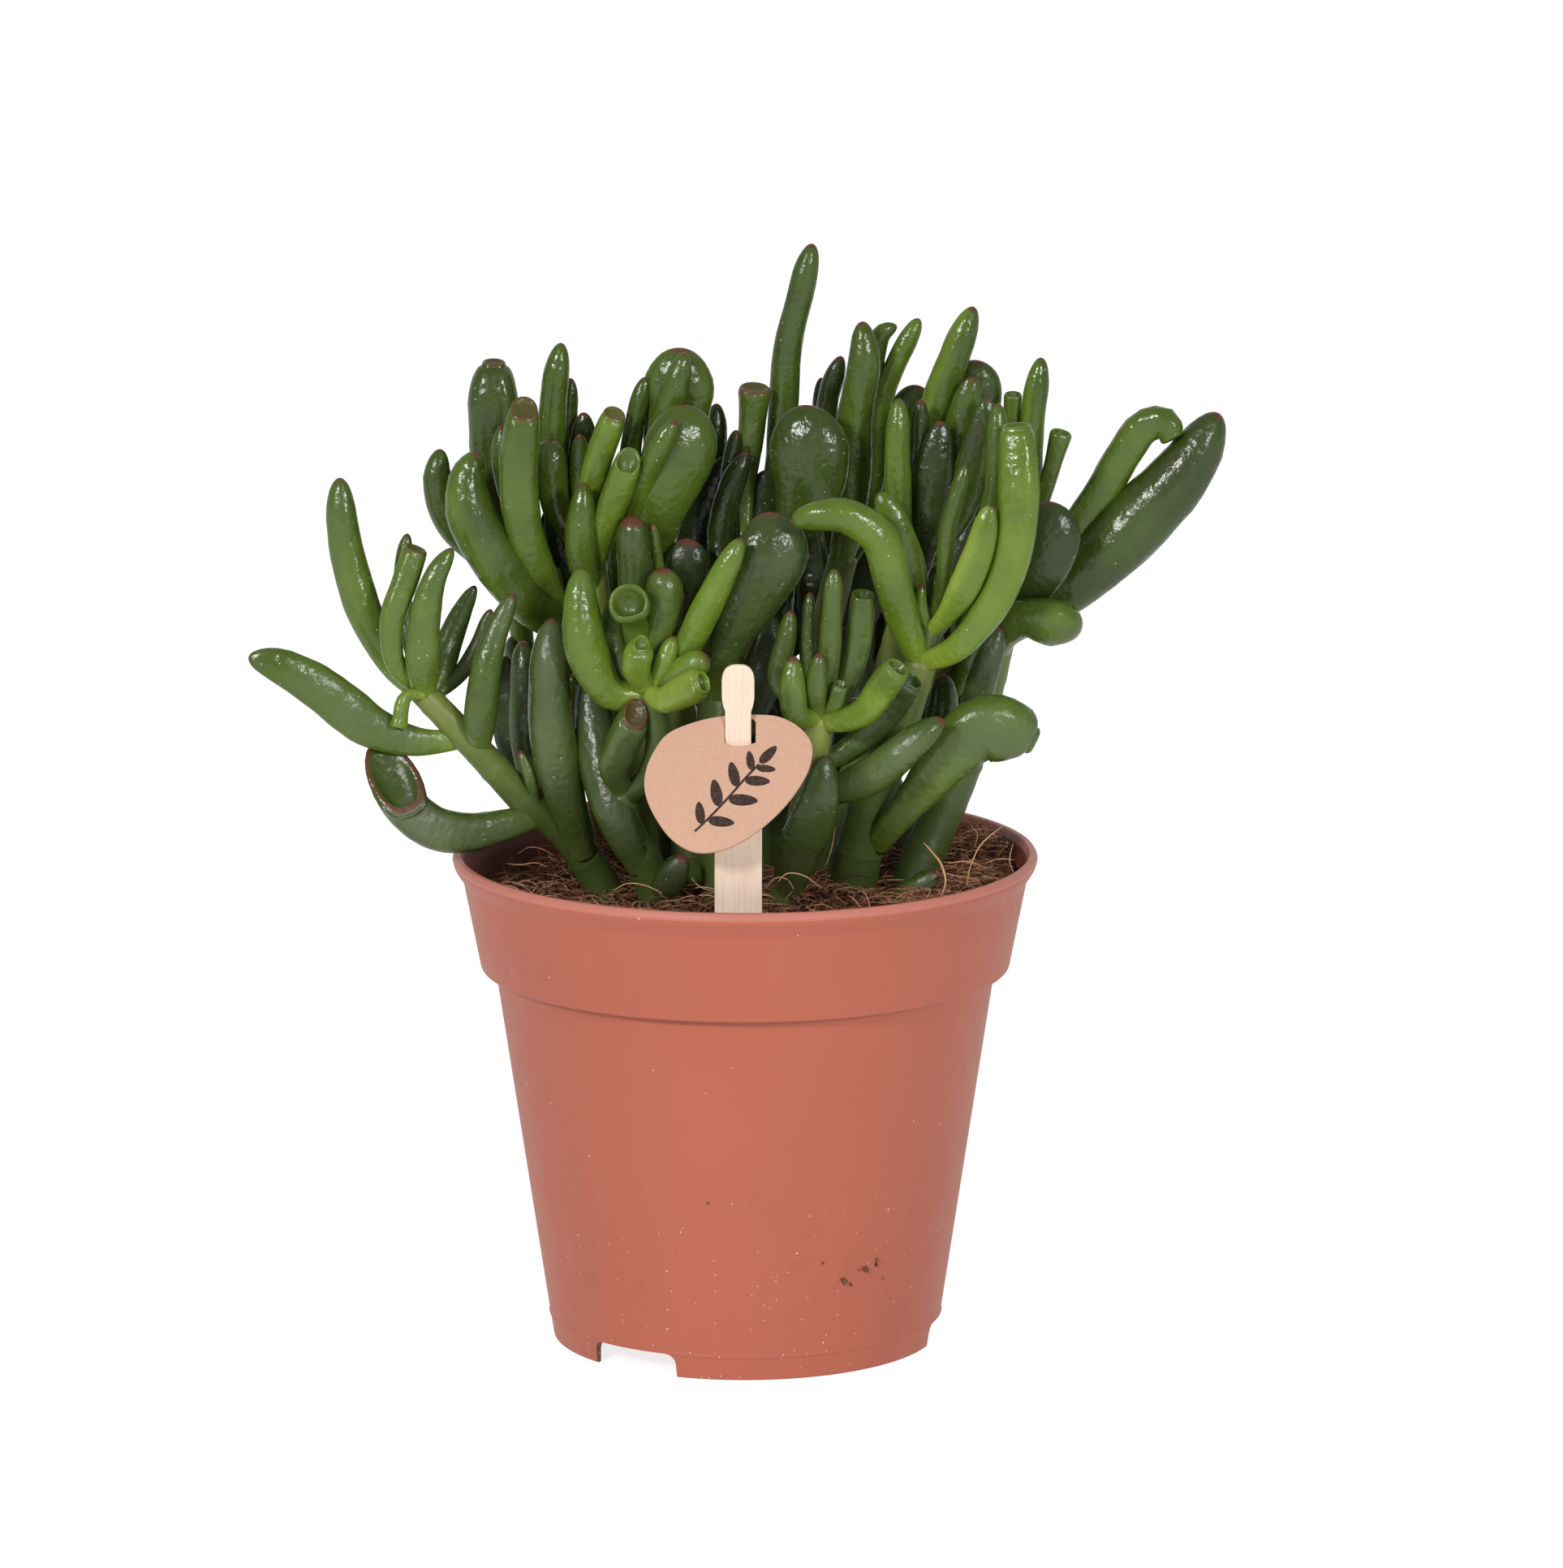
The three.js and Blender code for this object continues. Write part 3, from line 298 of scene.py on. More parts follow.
# The coir: coconut fibre and crumbs, loosely filled and a little higher on the right. A lumpy
# body lies in the pot, with loose fibres and crumbs strewn over it, thickest in a few tufts
COIR_FLOOR = 7.6
COIR_WALL = [(38.4, 7.6), (39.3, 8.2), (49.5, 78.2), (52.9, 81)]
COIR_TOP = 93.5
COIR_EDGE = 55.4
COIR_RINGS = 60
STRAND_LIMIT = 54
FIBRES = 4700
CRUMBS = 900
TUFTS = [(-41, 2, 15), (-44, -22, 9), (-22, -46, 12), (-34, -38, 10), (12, -46, 9), (44, -6, 14),
         (46, 20, 11), (46, 20, 11), (40, -30, 10), (-30, 40, 16), (24, 46, 16), (15, -10, 10)]
LONG_FIBRES = [
    (0.27, 0.85, [(36.5, 99.8, -30), (38.6, 97.4, -33), (40, 95.5, -35), (41, 92, -37), (40.3, 89, -39)]),
    (0.16, 0.95, [(53, 103.3, -14), (50.4, 101.4, -18), (48, 99, -21), (46, 94.5, -26), (45.4, 91, -31)]),
    (0.15, 0.8, [(54.8, 99.5, -10), (54.2, 97, -12), (54.2, 95.5, -13), (55, 93.5, -15)]),
    (0.14, 0.9, [(41.5, 95.5, -28), (45, 95.9, -26), (48, 95.2, -24)]),
    (0.14, 0.85, [(49, 95.5, -20), (52, 96.4, -17), (55, 96.2, -15)]),
    (0.12, 0.7, [(46, 103.6, -6), (47.5, 101.5, -9), (47, 99, -12)]),
    (0.13, 0.9, [(6.5, 91.5, -44), (8.5, 93.4, -43), (12, 93, -44), (15.6, 90.4, -46)]),
    (0.12, 0.75, [(4, 90.5, -45), (6.6, 92.6, -43), (8.6, 92.2, -43), (10, 90.2, -46)]),
    (0.13, 0.6, [(-46.5, 97.5, -8), (-44, 98.8, -6), (-41.5, 98.4, -7), (-39, 97, -8)]),
    (0.12, 0.75, [(-49, 95.5, -12), (-46, 95.2, -14), (-43, 95.6, -15), (-40.5, 94.8, -17)]),
    (0.12, 0.7, [(-11, 92.5, -46), (-9.4, 90.8, -47), (-6.5, 89.8, -49)]),
    (0.12, 0.9, [(-27, 90, -48), (-24, 91.4, -46), (-20.5, 91, -46), (-17, 89.4, -48)]),
    (0.1, 0.85, [(16.5, 95, -26), (17.8, 99, -24), (18.4, 103, -22)]),
]
CLODS_ON_WALL = [(20, 20.8, 1.1), (23.6, 22.4, 1.2), (26.6, 23.3, 1.0), (21.4, 19.8, 0.6),
                 (25, 21.3, 0.5), (15.8, 24.8, 0.5), (-7.4, 38.5, 0.4), (27.9, 19.4, 0.35)]
COIR_DARK = (0.050, 0.020, 0.013)
COIR_BROWN = (0.215, 0.082, 0.042)
COIR_RED = (0.370, 0.160, 0.082)
COIR_TAN = (0.600, 0.350, 0.200)

# The viewer of the photograph stands 2 m away and looks down a little. Picture places are
# across and up, in mm, on an upright plane through the pot's axis
VIEW_DISTANCE = 2000
VIEW_TILT = math.radians(11.8)
AIM_X, AIM_Z = 7.45, 115.5
AIM_ACROSS, AIM_UP = 7.44, 111.74


def seen(across, up, back):
    """The place, in mm, that shows at that spot of the picture and lies so far back"""
    slope = (up - AIM_UP) / VIEW_DISTANCE
    cosine, sine = math.cos(VIEW_TILT), math.sin(VIEW_TILT)
    rise = (slope * (VIEW_DISTANCE + back * cosine) - back * sine) / (cosine + slope * sine)
    depth = VIEW_DISTANCE + back * cosine - rise * sine
    return Vector((AIM_X + (across - AIM_ACROSS) / VIEW_DISTANCE * depth, back, AIM_Z + rise))


def random_from(seed):
    """A seeded draw between two bounds"""
    state = seed

    def draw(low, high):
        nonlocal state
        state = state * 16807 % 2147483647
        return low + state / 2147483647 * (high - low)

    return draw


def coir_top(x, y):
    mounds = 1.1 * math.sin(x / 9 + 1) * math.cos(y / 11) + 0.8 * math.sin(x / 5 + y / 7)
    mounds += 4 * math.exp(-((x - 46) ** 2 + (y - 18) ** 2) / 110)
    mounds += 2 * math.exp(-((x + 26) ** 2 + (y + 42) ** 2) / 140)
    return COIR_TOP + 0.05 * x + mounds


coir_outline = [(0, COIR_FLOOR), *COIR_WALL]
coir_outline += [(COIR_EDGE * (1 - ring / COIR_RINGS), COIR_TOP) for ring in range(COIR_RINGS + 1)]
coir = turned("coir_bed", coir_outline, 200)
for vertex in coir.data.vertices:
    x, y, z = vertex.co / MM
    if z > COIR_TOP - 1:
        lump = 0.9 * noise.noise((x / 3.4, y / 3.4, 0)) + 0.5 * noise.noise((x / 1.3, y / 1.3, 4))
        radius = math.hypot(x, y)
        top = coir_top(x, y) + lump
        if radius > COIR_EDGE - 0.1:
            shrink = min(1, (53.1 + (top - 76.8) * 0.17) / radius)
            vertex.co.xy *= shrink
        vertex.co.z = top * MM
for face in coir.data.polygons:
    face.use_smooth = True


class Strands:
    """Many thin fibres and small crumbs in one mesh, each with its own shade"""

    def __init__(self):
        self.points, self.faces, self.shades = [], [], []

    def fibre(self, path, radius, shade, sides):
        first = len(self.points)
        for i, middle in enumerate(path):
            along = (path[min(i + 1, len(path) - 1)] - path[max(i - 1, 0)]).normalized()
            side = along.orthogonal().normalized()
            out = along.cross(side)
            thick = radius * (0.35 + 0.65 * math.sin(math.pi * (i + 0.6) / (len(path) + 0.2)))
            for j in range(sides):
                angle = 2 * math.pi * j / sides
                self.points.append(middle + (side * math.cos(angle) + out * math.sin(angle)) * thick)
        for i in range(len(path) - 1):
            for j in range(sides):
                low, high = first + i * sides, first + (i + 1) * sides
                turn = (j + 1) % sides
                self.faces.append((low + j, low + turn, high + turn, high + j))
        last = len(self.points) - sides
        self.faces.append(tuple(first + j for j in reversed(range(sides))))
        self.faces.append(tuple(last + j for j in range(sides)))
        self.shades += [shade] * (sides * len(path))

    def crumb(self, middle, size, shade, draw):
        """A lumpy eight-sided grain"""
        first = len(self.points)
        reach = [size * draw(0.6, 1.2) for _ in range(6)]
        for axis in range(3):
            for way in (0, 1):
                offset = Vector((0, 0, 0))
                offset[axis] = reach[2 * axis + way] * (1 if way else -1)
                self.points.append(middle + offset)
        for a in (0, 1):
            for b in (2, 3):
                for c in (4, 5):
                    flip = (a + b + c) % 2 == 0
                    face = (first + a, first + b, first + c)
                    self.faces.append(face if flip else face[::-1])
        self.shades += [shade] * 6

    def piece(self, name):
        made = mesh_object(name, self.points, self.faces)
        shades = made.data.attributes.new("shade", "FLOAT", "POINT")
        shades.data.foreach_set("value", self.shades)
        for face in made.data.polygons:
            face.use_smooth = True
        return made


def smooth_line(points, steps=12):
    """Points along a smooth curve through given ones, spaced by the roots of their gaps"""
    ends = [points[0] * 2 - points[1], *points, points[-1] * 2 - points[-2]]
    line = [points[0].copy()]
    for a, b, c, d in zip(ends, ends[1:], ends[2:], ends[3:]):
        first, middle, last = (max((q - p).length, 1e-4) ** 0.5 for p, q in ((a, b), (b, c), (c, d)))
        out = ((b - a) / first - (c - a) / (first + middle) + (c - b) / middle) * middle
        into = ((c - b) / middle - (d - b) / (middle + last) + (d - c) / last) * middle
        for step in range(1, steps + 1):
            t = step / steps
            bend = (b * -3 + c * 3 - out * 2 - into) * t ** 2 + (b * 2 - c * 2 + out + into) * t ** 3
            line.append(b + out * t + bend)
    return line


strands = Strands()
draw = random_from(90210)
for index in range(FIBRES):
    if index % 5 < 3:
        x, y, spread = TUFTS[index % len(TUFTS)]
        angle, reach = draw(0, 2 * math.pi), spread * draw(0, 1) ** 0.8
        x, y = x + reach * math.cos(angle), y + reach * math.sin(angle)
    else:
        angle, reach = draw(0, 2 * math.pi), STRAND_LIMIT * draw(0, 1) ** 0.5
        x, y = reach * math.cos(angle), reach * math.sin(angle)
    if math.hypot(x, y) > STRAND_LIMIT:
        continue
    heading, length = draw(0, 2 * math.pi), draw(2.5, 11)
    curl, climb = draw(-2.2, 2.2), draw(-0.4, 0.95)
    path = []
    place = Vector((x, y, coir_top(x, y) + draw(-0.5, 1.6)))
    for step in range(7):
        path.append(place.copy())
        slope = climb * (1 - step / 3.2)
        place += Vector((math.cos(heading), math.sin(heading), slope)) * length / 6
        heading += curl / 5
        floor = coir_top(place.x, place.y) - 0.6
        place.z = max(place.z, floor)
        over = math.hypot(place.x, place.y) / 55.2
        if over > 1:
            place.x /= over
            place.y /= over
    strands.fibre(path, draw(0.06, 0.17), draw(0.1, 1), 3)
for index in range(CRUMBS):
    angle, reach = draw(0, 2 * math.pi), STRAND_LIMIT * draw(0, 1) ** 0.5
    x, y = reach * math.cos(angle), reach * math.sin(angle)
    strands.crumb(Vector((x, y, coir_top(x, y) + draw(0, 0.9))), draw(0.3, 0.95), draw(0, 0.5), draw)
for radius, shade, path in LONG_FIBRES:
    line = smooth_line([seen(*place) for place in path], 5)
    strands.fibre(line, radius, shade, 5)
for across, height_up, size in CLODS_ON_WALL:
    wall = 40.5 + (height_up - 5.7) * 0.1505
    middle = Vector((across, -math.sqrt(wall ** 2 - across ** 2), height_up))
    for _ in range(4):
        shift = Vector((draw(-1, 1), draw(-0.1, 0.1), draw(-0.8, 0.8))) * size
        strands.crumb(middle + shift, 0.65 * size, draw(0.05, 0.5), draw)
fibres = strands.piece("coir_fibres")

coir_finish = Finish("coir", Roughness=0.95, Specular_IOR_Level=0.2)
grain = coir_finish.cloud(700, 5)
fine = coir_finish.cloud(2400, 3)
colour = coir_finish.mix(coir_finish.step(grain, 0.4, 0.66), COIR_DARK, COIR_BROWN)
colour = coir_finish.mix(coir_finish.step(fine, 0.55, 0.75) * 0.6, colour, COIR_RED)
coir_finish.feed(Base_Color=colour, Normal=coir_finish.bump(grain + fine, 0.9, 0.0012))
fibre_finish = Finish("coir fibre", Roughness=0.75, Specular_IOR_Level=0.3)
shade = fibre_finish.node("Attribute", {"attribute_name": "shade"}, output="Fac")
shade = shade + (fibre_finish.cloud(500, 2) - 0.5) * 0.25
stops = [(0, COIR_DARK), (0.28, COIR_BROWN), (0.55, COIR_RED), (0.95, COIR_TAN)]
colour = fibre_finish.node("ValToRGB", {"stops": stops}, {0: shade})
fuzz = fibre_finish.bump(fibre_finish.cloud(3000, 2), 0.4, 0.0003)
fibre_finish.feed(Base_Color=colour, Normal=fuzz)
coir.data.materials.append(coir_finish.material)
fibres.data.materials.append(fibre_finish.material)
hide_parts("soil")
for piece in (coir, fibres):
    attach(piece, "root")

# The label stick: a flat strip of bare pale wood with a narrow neck under its round head,
# stamped out of veneer and pushed into the coir just inside the rim. It is drawn as a flat curve,
# which gets its thickness and its slightly worn edges
STICK_FACE = -47.4
STICK_THICKNESS = 1.2
STICK_WIDTH = 9.5
STICK_CENTRE = -1.2
STICK_BOTTOM = 64
STICK_SHOULDER = 132
STICK_NECK_WIDTH = 5.2
STICK_NECK_TOP = 140.2
STICK_HEAD_WIDTH = 6.5
STICK_TOP = 149.6
WOOD = (0.75, 0.565, 0.44)
WOOD_PALE = (0.81, 0.65, 0.53)
WOOD_GRAIN = (0.66, 0.46, 0.33)
WOOD_BLUSH = (0.80, 0.53, 0.36)


def plate(name, outlines, thickness, edge):
    """A flat plate in the XY plane from closed outlines, the later ones being its holes"""
    curve = bpy.data.curves.new(name, "CURVE")
    curve.dimensions = "2D"
    curve.fill_mode = "BOTH"
    curve.extrude = (thickness / 2 - edge) * MM
    curve.bevel_depth = edge * MM
    curve.offset = -edge * MM
    curve.bevel_resolution = 2
    for outline in outlines:
        spline = curve.splines.new("POLY")
        spline.points.add(len(outline) - 1)
        spline.use_cyclic_u = True
        for point, (across, up) in zip(spline.points, outline):
            point.co = (across * MM, up * MM, 0, 1)
    piece = bpy.data.objects.new(name, curve)
    bpy.context.scene.collection.objects.link(piece)
    bpy.ops.object.select_all(action="DESELECT")
    piece.select_set(True)
    bpy.context.view_layer.objects.active = piece
    bpy.ops.object.convert(target="MESH")
    bpy.ops.object.mode_set(mode="EDIT")
    bpy.ops.mesh.select_all(action="SELECT")
    bpy.ops.mesh.remove_doubles(threshold=0.01 * MM)
    bpy.ops.mesh.normals_make_consistent(inside=False)
    bpy.ops.object.mode_set(mode="OBJECT")
    bpy.ops.object.shade_smooth_by_angle(angle=math.radians(50))
    return bpy.context.object


def bent(start, corner, end, points=8):
    """A rounded corner from start to end"""
    steps = [step / points for step in range(points + 1)]
    return [(Vector(start).lerp(corner, t)).lerp(Vector(corner).lerp(end, t), t) for t in steps]


low, neck, head = STICK_WIDTH / 2, STICK_NECK_WIDTH / 2, STICK_HEAD_WIDTH / 2
half_outline = [
    Vector((low, STICK_BOTTOM)),
    *bent((low, STICK_SHOULDER - 4), (low, STICK_SHOULDER), (neck, STICK_SHOULDER)),
    *bent((neck, STICK_NECK_TOP), (head, STICK_NECK_TOP + 1.5), (head, STICK_NECK_TOP + 3.5)),
    *bent((head, STICK_TOP - 3.6), (head, STICK_TOP), (0.4, STICK_TOP)),
]
stick_outline = half_outline + [Vector((-across, up)) for across, up in reversed(half_outline)]
stick = plate("label_stick_wood", [stick_outline], STICK_THICKNESS, 0.18)
upright = Matrix.Rotation(math.pi / 2, 4, "X")
middle = Vector((STICK_CENTRE, STICK_FACE + STICK_THICKNESS / 2, 0)) * MM
stick.data.transform(Matrix.Translation(middle) @ upright)

wood = Finish("pale stick wood", Roughness=0.68, Specular_IOR_Level=0.25)
grain = wood.cloud(1, 4, wood.stretched(2600, 2600, 90))
fleck = wood.cloud(1, 2, wood.stretched(4600, 4600, 420))
colour = wood.mix(wood.step(grain, 0.38, 0.68), WOOD_PALE, WOOD)
colour = wood.mix(wood.step(fleck, 0.6, 0.72) * 0.5, colour, WOOD_GRAIN)
blush = wood.step(wood.cloud(60, 2), 0.45, 0.7)
colour = wood.mix(blush * 0.25, colour, WOOD_BLUSH)
wood.feed(Base_Color=colour, Normal=wood.bump(grain + fleck * 0.6, 0.35, 0.00012))
stick.data.materials.append(wood.material)
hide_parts("label_stick")
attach(stick, "root")

# The card: thick kraft card, die-cut to a rounded pebble outline with a slot near its top that
# the stick's neck passes through, so that it leans forward over the stick. Its face carries a
# plain sprig of leaves in dark ink, printed flat
CARD_THICKNESS = 1
CARD_TILT = 28
SLOT_WIDTH = 7
SLOT_HEIGHT = 5.7
SLOT_MIDDLE = 135.7
CARD_OUTLINE = [
    (-14.2, -0.4), (-8.8, 2.1), (-3, 3.4), (3, 3.7), (8.3, 3.2), (12.6, 0.7), (14.7, -2.6),
    (14.3, -7.1), (11.2, -12.9), (7, -17.8), (1, -22.5), (-4, -24.6), (-8.6, -24.8), (-13, -22.3),
    (-16.8, -17), (-18.6, -12), (-18.3, -7.6), (-16.6, -3.6),
]
SPRIG_STEM = [(-8.6, -20.6), (-5.4, -17.4), (-1.6, -13.2), (1.6, -9.4), (4.4, -6.4)]
SPRIG_LEAVES = [(0.12, 1, 4.6), (0.2, -1, 5.2), (0.36, 1, 5.6), (0.46, -1, 5.8), (0.62, 1, 5.2),
                (0.72, -1, 5), (0.86, 1, 4), (0.92, -1, 3.8), (1, 0, 4.8)]
SPRIG_STROKE = 0.24
SPRIG_SPREAD = 52
INK_THICKNESS = 0.03
KRAFT = (0.85, 0.58, 0.44)
KRAFT_PALE = (0.93, 0.69, 0.56)
KRAFT_FLECK = (0.36, 0.17, 0.095)
# A darker kraft: the cut edges' own tone, and painted shade on the side that faces forward
KRAFT_SHADE_AND_EDGE = (0.42, 0.215, 0.13)
INK = (0.022, 0.010, 0.008)


def closed_curve(points, steps=6):
    """A smooth closed line through given points"""
    corners = [Vector((across, up, 0)) for across, up in points]
    line = smooth_line([*corners[-2:], *corners, *corners[:2]], steps)
    return [(point.x, point.y) for point in line[2 * steps: (len(points) + 2) * steps]]


wide, tall = SLOT_WIDTH / 2, SLOT_HEIGHT / 2
slot = [(0.8 - wide, 0.7 - tall), (0.3 - wide / 3, -tall), (wide / 3, -tall), (wide, 0.7 - tall),
        (wide, tall - 0.6), (wide - 0.6, tall), (1.4 - wide, tall), (0.8 - wide, tall - 0.6)]
card = plate("label_card_kraft", [closed_curve(CARD_OUTLINE), slot], CARD_THICKNESS, 0.16)
stem_line = smooth_line([Vector((across, up, 0)) for across, up in SPRIG_STEM])
stem_pairs = zip(stem_line, stem_line[1:])
stem_sides = [(point, (after - point).normalized()) for point, after in stem_pairs]
left_side = [point + Vector((-along.y, along.x, 0)) * SPRIG_STROKE for point, along in stem_sides]
right_side = [point - Vector((-along.y, along.x, 0)) * SPRIG_STROKE for point, along in stem_sides]
ink_shapes = [[(point.x, point.y) for point in left_side + right_side[::-1]]]
for share, side, length in SPRIG_LEAVES:
    root, along = stem_sides[min(int(share * len(stem_sides)), len(stem_sides) - 1)]
    heading = math.atan2(along.y, along.x) + math.radians(SPRIG_SPREAD) * side
    forward = Vector((math.cos(heading), math.sin(heading), 0))
    across = Vector((-forward.y, forward.x, 0))
    edge = []
    for step in range(24):
        angle = 2 * math.pi * step / 24
        reach = 0.56 - 0.5 * math.cos(angle)
        swell = 0.21 * math.sin(angle) * (1 - 0.35 * (reach - 0.5))
        spot = root + forward * (length * reach) + across * (length * swell)
        edge.append((spot.x, spot.y))
    ink_shapes.append(edge)
prints = [plate(f"sprig_{i}", [shape], INK_THICKNESS, 0.005) for i, shape in enumerate(ink_shapes)]
face_up = Matrix.Translation((0, 0, (CARD_THICKNESS / 2 + INK_THICKNESS / 2 - 0.005) * MM))
ink = Finish("dark print ink", Roughness=0.6, Specular_IOR_Level=0.3)
wear = ink.step(ink.cloud(2200, 3), 0.42, 0.8)
ink.feed(Base_Color=ink.mix(wear * 0.22, INK, KRAFT_FLECK))
for shape in prints:
    shape.data.transform(face_up)
    shape.data.materials.append(ink.material)
kraft = Finish("kraft card", Roughness=0.85, Specular_IOR_Level=0.15)
pulp = kraft.cloud(2300, 4)
colour = kraft.mix(kraft.step(pulp, 0.36, 0.66), KRAFT, KRAFT_PALE)
flecks = kraft.cloud(1, 3, kraft.stretched(3600, 3600, 1500))
colour = kraft.mix(kraft.step(flecks, 0.64, 0.76) * 0.35, colour, KRAFT_FLECK)
# Partly painted shade: all that faces forward or sideways, the printed face and the cut edges, is mixed
# towards the darker kraft; on the cut edges it is also their own darker tone
facing = kraft.part(kraft.node("NewGeometry", output="Normal"), 1)
forward_shade_and_edge = kraft.step(facing, 0.2, 0.05)
colour = kraft.mix(forward_shade_and_edge * 0.7, colour, KRAFT_SHADE_AND_EDGE)
kraft.feed(Base_Color=colour, Normal=kraft.bump(pulp + flecks, 0.35, 0.0001))
card.data.materials.append(kraft.material)
bpy.ops.object.select_all(action="DESELECT")
for piece in (card, *prints):
    piece.select_set(True)
bpy.context.view_layer.objects.active = card
bpy.ops.object.join()
lean = Matrix.Rotation(math.radians(90 - CARD_TILT), 4, "X")
middle = Vector((STICK_CENTRE, STICK_FACE + STICK_THICKNESS / 2, SLOT_MIDDLE)) * MM
card.data.transform(Matrix.Translation(middle) @ lean)
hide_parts("label_card")
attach(card, "root")

# The shoots: fleshy stems with finger, horn, blade, spoon, stub, club and cup leaves.
# Every leaf is a skin of rings along a given path, from inside its stem to its tip.
# Widths, mouths and places are in mm; a place is across and up in the picture and so far back.
# After its widths a leaf has its tone, from 0 for old and dark to 1 for young and yellow-green
FINGER = {"rows": [(0, 0.55), (0.25, 0.84), (0.5, 1), (0.8, 0.88)], "flatness": 0.82, "tip": 0.7}
HORN = {"rows": [(0, 0.6), (0.25, 1), (0.55, 0.92), (0.8, 0.7)], "flatness": 0.7, "tip": 0.7}
BLADE = {"rows": [(0, 0.4), (0.25, 0.7), (0.5, 1), (0.8, 0.88)], "flatness": 0.46, "tip": 0.7}
SPOON = {"rows": [(0, 0.34), (0.3, 0.46), (0.58, 0.78), (0.8, 1)], "flatness": 0.44, "tip": 0.34}
STUB = {"rows": [(0, 0.5), (0.25, 0.74), (0.55, 0.96), (0.8, 1)], "flatness": 0.86, "tip": 0.36}
CLUB = {"rows": [(0, 0.36), (0.3, 0.5), (0.55, 0.76), (0.8, 1)], "flatness": 0.74, "tip": 0.36}
CUP_LIP = [(-0.16, 1), (-0.07, 0.985), (0, 0.94), (0.035, 0.87), (0.035, 0.8), (0, 0.73), (-0.07, 0.66),
           (-0.16, 0.56), (-0.24, 0.4), (-0.28, 0.2)]
TIP_TURNS = [0.12, 0.26, 0.4, 0.53, 0.65, 0.75, 0.84, 0.91, 0.96]
RING_GAP = 1.25
TO_VIEWER = Vector((0, -1, 0))


def leaf_of(form, width, tone, path, options, **more):
    """Options: rim, how brown the rim or the tip's cap is, where a mouth over 0.6 is shallow and
    brown all over, and pale, the side that is paler"""
    return {"rim": 0.35, "pale": 0, **form, "width": width, "tone": tone, "face": TO_VIEWER,
            "path": [seen(*place) for place in path], **more, **options}


def finger(width, tone, *path, **options):
    return leaf_of(FINGER, width, tone, path, options)


def horn(width, tone, *path, **options):
    return leaf_of(HORN, width, tone, path, options)


def blade(width, tone, *path, **options):
    return leaf_of(BLADE, width, tone, path, options)


def spoon(width, tone, *path, **options):
    return leaf_of(SPOON, width, tone, path, options)


def stub(width, tone, *path, **options):
    return leaf_of(STUB, width, tone, path, options)


def club(width, tone, *path, **options):
    return leaf_of(CLUB, width, tone, path, options)


def cup(width, mouth, lean, tone, *path, **options):
    """A stub that ends in a hollow mouth, whose rim leans towards the viewer"""
    return leaf_of(STUB, width, tone, path, options, mouth=mouth, lean=lean)


def bulb(width, mouth, tone, *path, **options):
    """A club that ends in a hollow mouth"""
    return leaf_of(CLUB, width, tone, path, options, mouth=mouth, lean=0)


def stem(foot, top, *path, tone=0.5):
    """A round stem, with its radius at the foot and at the top"""
    return {"foot": foot, "top": top, "path": [seen(*place) for place in path], "face": TO_VIEWER,
            "tone": tone}


